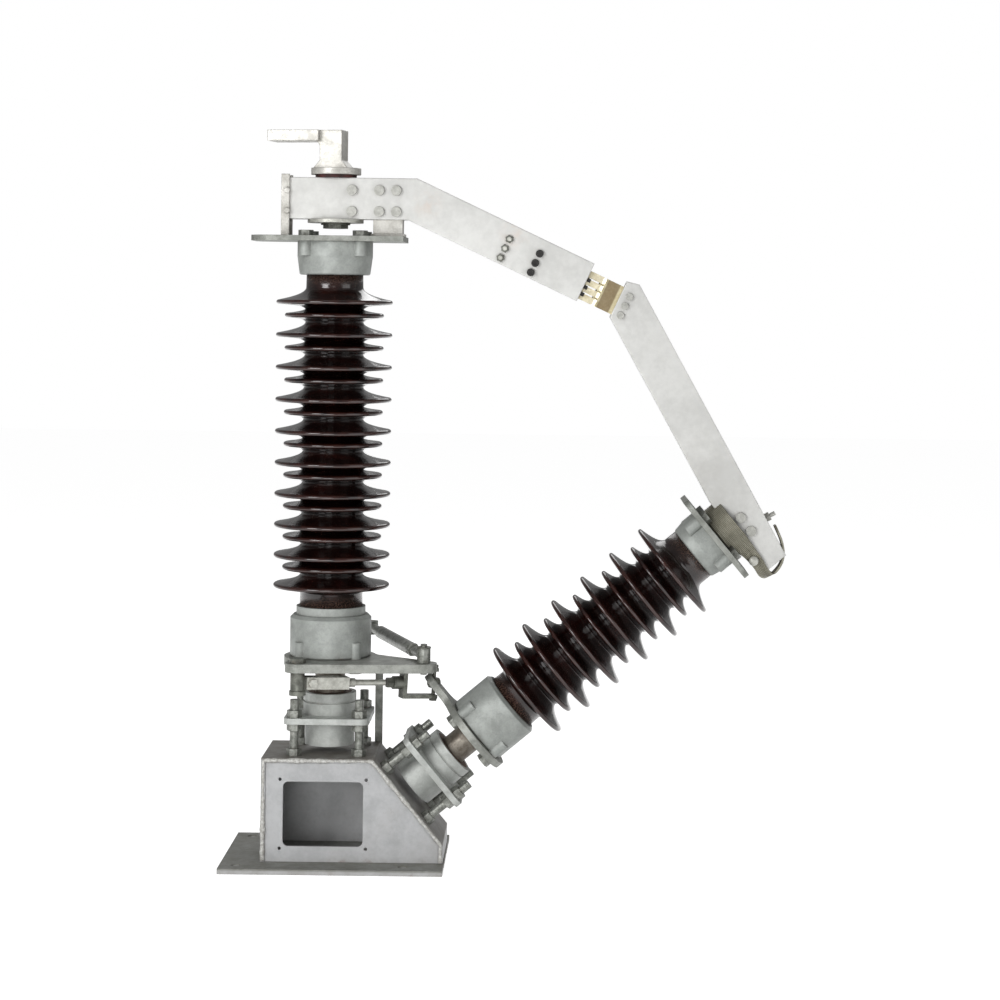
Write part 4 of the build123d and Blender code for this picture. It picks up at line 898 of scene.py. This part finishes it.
@dataclass(frozen=True)
class FlexibleBraid:
    """Flat braid wound on the hub, which leaves it as a strap round the end of the right arm."""

    inner: float = 30.0
    outer: float = 47.5
    turns: float = 4.5
    end_deg: float = -58.0
    plate_top: float = 925.3
    thick: float = 4.6
    coil_width: float = 25.0
    strap_width: float = 40.0
    coil_rise: float = 14.0
    last_rise: float = 7.5
    widening_turns: float = 0.75
    points_a_turn: int = 48
    swing_step: float = 2.5
    swing_passes: int = 9
    strands: int = 8
    strand_share: float = 0.45
    swing: tuple[tuple[float, ...], ...] = (
        (42.0, -37.0, -4.0, 0.0, 0.0, 1.0, 33.0),
        (60.0, -33.5, -2.0, 0.0, 0.0, 1.0, 26.0),
        (88.0, -31.0, -2.0, 0.0, -0.1, 1.0, 22.0),
        (106.0, -26.0, -6.0, 0.0, -0.3, 1.0, 22.0),
        (119.0, -12.0, -2.0, 0.0, -0.8, 0.7, 24.0),
        (122.0, 0.0, 12.0, 0.0, -1.0, 0.1, 26.0),
        (118.0, 2.0, 30.0, 0.0, -1.0, 0.0, 26.0),
        (106.0, 2.0, 46.0, 0.0, -1.0, 0.0, 26.0),
        (84.0, 0.0, 58.0, 0.0, -1.0, 0.0, 26.0),
        (55.0, 0.0, 66.0, 0.0, -1.0, 0.0, 24.0),
    )

    def route(self) -> Array:
        """The line's points, the direction of its width, and its width.

        The coil's radius grows evenly with its turn. The swing's corners are counted from the
        arm's foot, and each carries the direction and size of the width.
        """
        share = np.linspace(0.0, 1.0, int(self.turns * self.points_a_turn))
        turn = math.radians(self.end_deg) - (1 - share) * self.turns * 2 * np.pi
        radius = self.inner + (self.outer - self.inner) * share
        last_turns = (share - 1) * self.turns + self.widening_turns
        last = np.clip(last_turns * 2, 0.0, 1.0)
        height = self.plate_top + self.coil_rise + self.last_rise * last
        flat = np.zeros_like(share)
        width = self.coil_width + (self.strap_width - self.coil_width) * last
        coil = np.stack([
            radius * np.cos(turn), radius * np.sin(turn), height, flat, flat, flat + 1, width,
        ], 1)
        swing = np.array(self.swing)
        swing[:, 2] += FOOT_LOW_MM
        corners_only = np.concatenate([coil[-1:], swing])
        strap = softened(spaced(corners_only, self.swing_step), self.swing_passes)
        return np.concatenate([coil[:-1], strap])

    def build(self) -> None:
        """Sweep a flat section with rounded strands along the route.

        The section is two rows of points, half a thickness either side of the line, raised over
        each strand by the size of a sine across the width.
        """
        route = self.route()
        middle, wide_way, width = route[:, :3], unit(route[:, 3:6]), route[:, 6:7]
        ahead = unit(np.gradient(middle, axis=0))
        out_way = unit(np.cross(ahead, wide_way))
        across = np.linspace(-0.5, 0.5, 25)
        wave = np.sqrt(np.abs(np.sin(across * np.pi * self.strands)))
        strands = 1 - self.strand_share + self.strand_share * wave
        side = np.concatenate([across, across[::-1]])
        swell = np.concatenate([strands, -strands]) * self.thick / 2
        offset = width[:, :, None] * side[None, :, None] * wide_way[:, None]
        points = middle[:, None] + offset + swell[None, :, None] * out_way[:, None]
        runs = np.linalg.norm(np.diff(middle, axis=0), axis=1)
        reach = np.concatenate([[0.0], np.cumsum(runs)])[:, None]
        values = {
            "along": (reach * MM + 0 * side[None]).ravel(),
            "across": (width * side[None] * MM).ravel(),
        }
        shape = Shape(points.reshape(-1, 3), capped(len(route), len(side)), values)
        made = shape.piece("wound_braid", Finish.BRAID, "right_insulator", LEANING)
        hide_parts("flexible_braid", "braid_strap")


@dataclass(frozen=True)
class StudThreads:
    """Threads on the eight studs that carry the bearing housings."""

    half_square: float = 59.0
    radius: float = 8.35
    pitch: float = 2.0
    bare: tuple[tuple[float, float], ...] = ((82.6, 101.6), (13.0, 45.6))

    def build(self, name: str, placing: Placing, face: float) -> None:
        """Add the threads of one bearing.

        Args:
            name: the piece's name.
            placing: the bearing's placing.
            face: height of the housing's face on that placing.
        """
        half = self.half_square
        spots = [(x, y, face) for x in (-half, half) for y in (-half, half)]
        shapes = [thread(self.radius, low, high, self.pitch).copies(spots)
                  for low, high in self.bare]
        made = joined(shapes).piece(name, Finish.BOLT, "base", placing)


@dataclass(frozen=True)
class WeldBead:
    """An uneven weld along the front edge of the sheet-metal housing."""

    corners_mm: tuple[tuple[float, float], ...] = (
        (-111.0, 12.0), (-111.0, 193.0), (85.5, 193.0), (211.0, 43.4), (211.0, 12.0),
    )
    front: float = -90.6
    radius: float = 3.6
    step: float = 1.6
    sides: int = 8
    swells: tuple[tuple[float, float], ...] = ((0.1, 2.1), (0.2, 7.3), (0.24, 31.0))

    def build(self) -> None:
        """Sweep a small ring along the edge, swelling by the sum of three sines of the distance."""
        flat = np.array(self.corners_mm)
        corner_points = np.stack([flat[:, 0], 0 * flat[:, 0] + self.front, flat[:, 1]], 1)
        line = softened(spaced(corner_points, self.step), 3)
        reach = np.arange(len(line)) * self.step
        swell = 1 + sum(share * np.sin(reach / length) for share, length in self.swells)
        ahead = unit(np.gradient(line, axis=0))
        front = np.array([0.0, -1.0, 0.0])
        side = np.cross(ahead, front)
        turn = np.arange(self.sides) * 2 * np.pi / self.sides
        ring = np.cos(turn)[None, :, None] * side[:, None] + np.sin(turn)[None, :, None] * front
        points = line[:, None] + ring * (self.radius * swell)[:, None, None]
        shape = Shape(points.reshape(-1, 3), capped(len(line), self.sides))
        made = shape.piece("housing_weld", Finish.WELD_AND_HIGHLIGHT, "base")


@dataclass(frozen=True)
class ContactScrews:
    """Screw heads that clamp the contact fingers, and small black blocks that stand for the painted
    shade in the slots between the fingers.
    """

    face: float = 25.0
    ups: tuple[float, ...] = (-27.0, -8.0, 11.0)
    nut_along: float = -188.0
    socket_along: float = -126.4
    mark_ups: tuple[float, ...] = (-22.0, -8.0, 6.0)
    mark_along: float = -23.8
    mark_front: float = 12.6
    mark_half: Colour = (3.4, 1.3, 3.6)

    def spots(self, along: float) -> list[tuple[float, float, float]]:
        """The places of one row on the arm's front."""
        return [(along, -self.face, up) for up in self.ups]

    def build(self) -> None:
        """Add dark nuts with pale ends, black socket screws and three black blocks that are painted
        shade in the finger slots.
        """
        nut = turned([(8.0, 0.0), (8.0, 5.5), (7.0, 6.4), (4.4, 6.5)], 6).facing_front()
        tip = turned([(4.2, 0.0), (4.2, 8.2), (3.4, 9.0)], 16).facing_front()
        socket = turned(
            [(7.2, 0.0), (7.2, 6.8), (6.6, 7.4), (3.6, 7.4), (3.5, 6.4)], 24
        ).facing_front()
        for name, shape, along, finish in (
            ("finger_nuts", nut, self.nut_along, Finish.DARK),
            ("finger_screw_ends", tip, self.nut_along, Finish.PALE),
            ("finger_socket_screws", socket, self.socket_along, Finish.BLACK),
        ):
            made = shape.copies(self.spots(along)).piece(
                name, finish, "left_insulator", CONTACT, smooth=False
            )
        # Painted shade: black blocks are put in the slots between the fingers.
        marks = [(self.mark_along, -self.mark_front, up) for up in self.mark_ups]
        dark = block(self.mark_half).copies(marks)
        made = dark.piece("finger_slot_shade_blocks", Finish.BLACK, "left_insulator", CONTACT, smooth=False)


@dataclass(frozen=True)
class DrivePinEnd:
    """Washer and split pin on the pin of the drive link."""

    place: Colour = (176.6, -85.0, 398.3)
    pin_radius: float = 6.0

    def build(self) -> None:
        """A dark washer round the pin and a split pin through its end."""
        x, y, z = self.place
        washer = turned([(13.0, 0.2), (13.0, 2.6), (12.4, 3.0), (6.2, 3.0)], 32).copies([(x, y, z)])
        split = turned([(1.5, -13.0), (1.7, -12.0), (1.7, 9.0), (3.4, 10.5), (3.4, 13.0),
                        (1.2, 14.5)], 10).facing_front().copies([(x, y, z + 5.4)])
        made = joined([washer, split]).piece("drive_pin_washer", Finish.DARK, "left_insulator")


@dataclass(frozen=True)
class StrapBolt:
    """Domed bolt head that holds the strap to the side of the arm's foot."""

    across: float = 76.8
    drop: float = 5.6
    strap_front: float = 37.0

    def build(self) -> None:
        """A pale domed head whose outline is a quarter of a flattened circle."""
        turn = np.radians(np.linspace(0.0, 80.0, 7))
        dome = [(9.0 * math.cos(t), 1.5 + 5.0 * math.sin(t)) for t in turn]
        head = turned([(9.0, -3.0), *dome], 28).facing_front()
        spot = (self.across, -self.strap_front, FOOT_LOW_MM - self.drop)
        made = head.copies([spot]).piece("strap_bolt", Finish.PALE, "right_insulator", LEANING)


@dataclass(frozen=True)
class RodThread:
    """The thread of the cross link's rod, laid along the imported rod's own axis."""

    node: str = "cross_link_rod"
    pitch: float = 1.75
    over: float = 0.3

    def build(self, frame: dict) -> None:
        """Find the rod's axis as its points' longest direction, and lay the thread on it.
        """
        mesh = frame["nodes"][self.node].data
        flat = np.zeros(len(mesh.vertices) * 3)
        mesh.vertices.foreach_get("co", flat)
        points = flat.reshape(-1, 3) / MM
        middle = (points.max(0) + points.min(0)) / 2
        ahead = np.linalg.svd(points - points.mean(0), full_matrices=False)[2][0]
        reach = (points - middle) @ ahead
        apart = np.linalg.norm(points - middle - np.outer(reach, ahead), axis=1)
        side = unit(np.cross(ahead, [[0.0, 1.0, 0.0]]))[0]
        placing = Placing(tuple(middle), (tuple(side), tuple(np.cross(ahead, side)), tuple(ahead)))
        shape = thread(
            float(apart.max()) + self.over, float(reach.min()) + 2, float(reach.max()) - 2,
            self.pitch,
        )
        made = shape.piece("cross_link_thread", Finish.PALE, "cross_link", placing)


@dataclass
class Studio:
    """Floor, lamps and the camera at the photograph's place."""

    camera_mm: Colour = (413.5, -4550.0, 1037.0)
    focal_px: float = 2467.0
    frame_px: float = 1000.0
    sensor_mm: float = 36.0
    vanishing_px: tuple[float, float] = (559.0, 297.0)
    roll_deg: float = 0.69
    floor_half: float = 14.0
    floor: Colour = (0.9, 0.9, 0.9)
    glow: float = 0.75
    room: float = 0.26
    aim: Colour = (0.3, 0.0, 0.65)
    lamps: tuple[tuple[str, Colour, float, float], ...] = (
        ("key", (-2.4, -3.6, 2.0), 1.8, 94.0),
        ("fill", (3.4, -2.6, 1.6), 2.4, 30.0),
        ("front", (-0.3, -3.2, 0.5), 1.2, 24.0),
        ("back", (0.8, 3.4, 3.0), 2.4, 34.0),
    )

    def camera(self) -> None:
        """Look level along +Y, with the frame shifted so that the vanishing point falls right."""
        data = bpy.data.cameras.new("camera")
        data.sensor_width = self.sensor_mm
        data.lens = self.focal_px / self.frame_px * self.sensor_mm
        data.shift_x = (self.frame_px / 2 - self.vanishing_px[0]) / self.frame_px
        data.shift_y = (self.vanishing_px[1] - self.frame_px / 2) / self.frame_px
        data.clip_end = 100.0
        camera = bpy.data.objects.new("camera", data)
        bpy.context.collection.objects.link(camera)
        camera.location = [value * MM for value in self.camera_mm]
        camera.rotation_euler = (math.pi / 2, -math.radians(self.roll_deg), 0.0)
        bpy.context.scene.camera = camera

    def floor_piece(self) -> None:
        """A plain pale floor that reads as white to the camera and keeps the shadow."""
        mesh = bpy.data.meshes.new("floor")
        half = self.floor_half
        spots = [(-half, -half, 0.0), (half, -half, 0.0), (half, half, 0.0), (-half, half, 0.0)]
        mesh.from_pydata(spots, [], [(0, 1, 2, 3)])
        floor = bpy.data.objects.new("floor", mesh)
        bpy.context.collection.objects.link(floor)
        graph = Graph("floor")
        graph.wire("Base Color", self.floor)
        graph.wire("Roughness", 0.9)
        glow = graph.add("ShaderNodeEmission", {}, {"Strength": self.glow})
        camera_ray = graph.add("ShaderNodeLightPath", {}, {}, "Is Camera Ray")
        glossy_ray = graph.add("ShaderNodeLightPath", {}, {}, "Is Glossy Ray")
        plain = Signal(graph, graph.shader.outputs[0])
        both = graph.add("ShaderNodeAddShader", {}, {0: plain, 1: glow})
        share = (camera_ray + glossy_ray).clamp()
        mixed = graph.add("ShaderNodeMixShader", {}, {0: share, 1: plain, 2: both})
        output = graph.tree.nodes["Material Output"]
        graph.tree.links.new(mixed.socket, output.inputs["Surface"])
        floor.data.materials.append(graph.material)

    def lamp(self, name: str, place: Colour, size: float, power: float) -> None:
        """One soft square lamp that points at the middle of the pole.

        Args:
            name: the lamp's name.
            place: its place in metres.
            size: its side in metres.
            power: its power in watts.
        """
        data = bpy.data.lights.new(name, "AREA")
        data.size = size
        data.energy = power
        lamp = bpy.data.objects.new(name, data)
        bpy.context.collection.objects.link(lamp)
        lamp.location = place
        away = np.array(place) - np.array(self.aim)
        flat = math.hypot(away[0], away[1])
        lamp.rotation_euler = (math.atan2(flat, away[2]), 0.0, math.atan2(away[0], -away[1]))

    def world(self) -> None:
        """A pale room, white where the camera sees it."""
        world = bpy.data.worlds.new("room")
        bpy.context.scene.world = world
        world.use_nodes = True
        tree = world.node_tree
        tree.nodes.clear()
        rays = tree.nodes.new("ShaderNodeLightPath")
        room = tree.nodes.new("ShaderNodeBackground")
        room.inputs[0].default_value = (1.0, 1.0, 1.0, 1.0)
        room.inputs[1].default_value = self.room
        seen = tree.nodes.new("ShaderNodeBackground")
        seen.inputs[0].default_value = (1.0, 1.0, 1.0, 1.0)
        mix = tree.nodes.new("ShaderNodeMixShader")
        tree.links.new(rays.outputs["Is Camera Ray"], mix.inputs[0])
        tree.links.new(room.outputs[0], mix.inputs[1])
        tree.links.new(seen.outputs[0], mix.inputs[2])
        output = tree.nodes.new("ShaderNodeOutputWorld")
        tree.links.new(mix.outputs[0], output.inputs[0])

    def build(self) -> None:
        """Set the whole studio."""
        bpy.context.scene.view_settings.view_transform = "Standard"
        self.camera()
        self.floor_piece()
        self.world()
        for name, place, size, power in self.lamps:
            self.lamp(name, place, size, power)


def dress_nodes(frame: dict) -> None:
    """Give every node of the frame its finish.
    """
    dressed: set[str] = {"left_porcelain", "right_porcelain", "flexible_braid", "braid_strap"}
    for finish, names in NODE_FINISH.items():
        for name in names:
            node = frame["nodes"][name]
            node.data.materials.clear()
            node.data.materials.append(finish.material())
            dressed.add(name)
    for name in sorted(set(frame["nodes"]) - dressed):
        LOG.warning("node %s has no finish", name)


def main() -> None:
    """Build the looks round the frame."""
    logging.basicConfig(level=logging.INFO, format="%(message)s")
    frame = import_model()
    Studio().build()
    dress_nodes(frame)
    left = Insulator(
        "left_glazed_porcelain", "left_insulator", UPRIGHT, 464.0, 1072.7, 58.0, 52.0,
        LEFT_SHEDS.sheds(),
    )
    left.build("left_porcelain")
    right = Insulator(
        "right_glazed_porcelain", "right_insulator", LEANING, 438.2, 869.7, 54.0, 52.0,
        RIGHT_SHEDS.sheds(),
    )
    right.build("right_porcelain")
    FlexibleBraid().build()
    StudThreads().build("left_stud_threads", UPRIGHT, HOUSING_TOP_MM)
    StudThreads().build("right_stud_threads", LEANING, SLOPE_FACE_MM)
    WeldBead().build()
    ContactScrews().build()
    DrivePinEnd().build()
    StrapBolt().build()
    RodThread().build(frame)


if __name__ == "__main__":
    main()
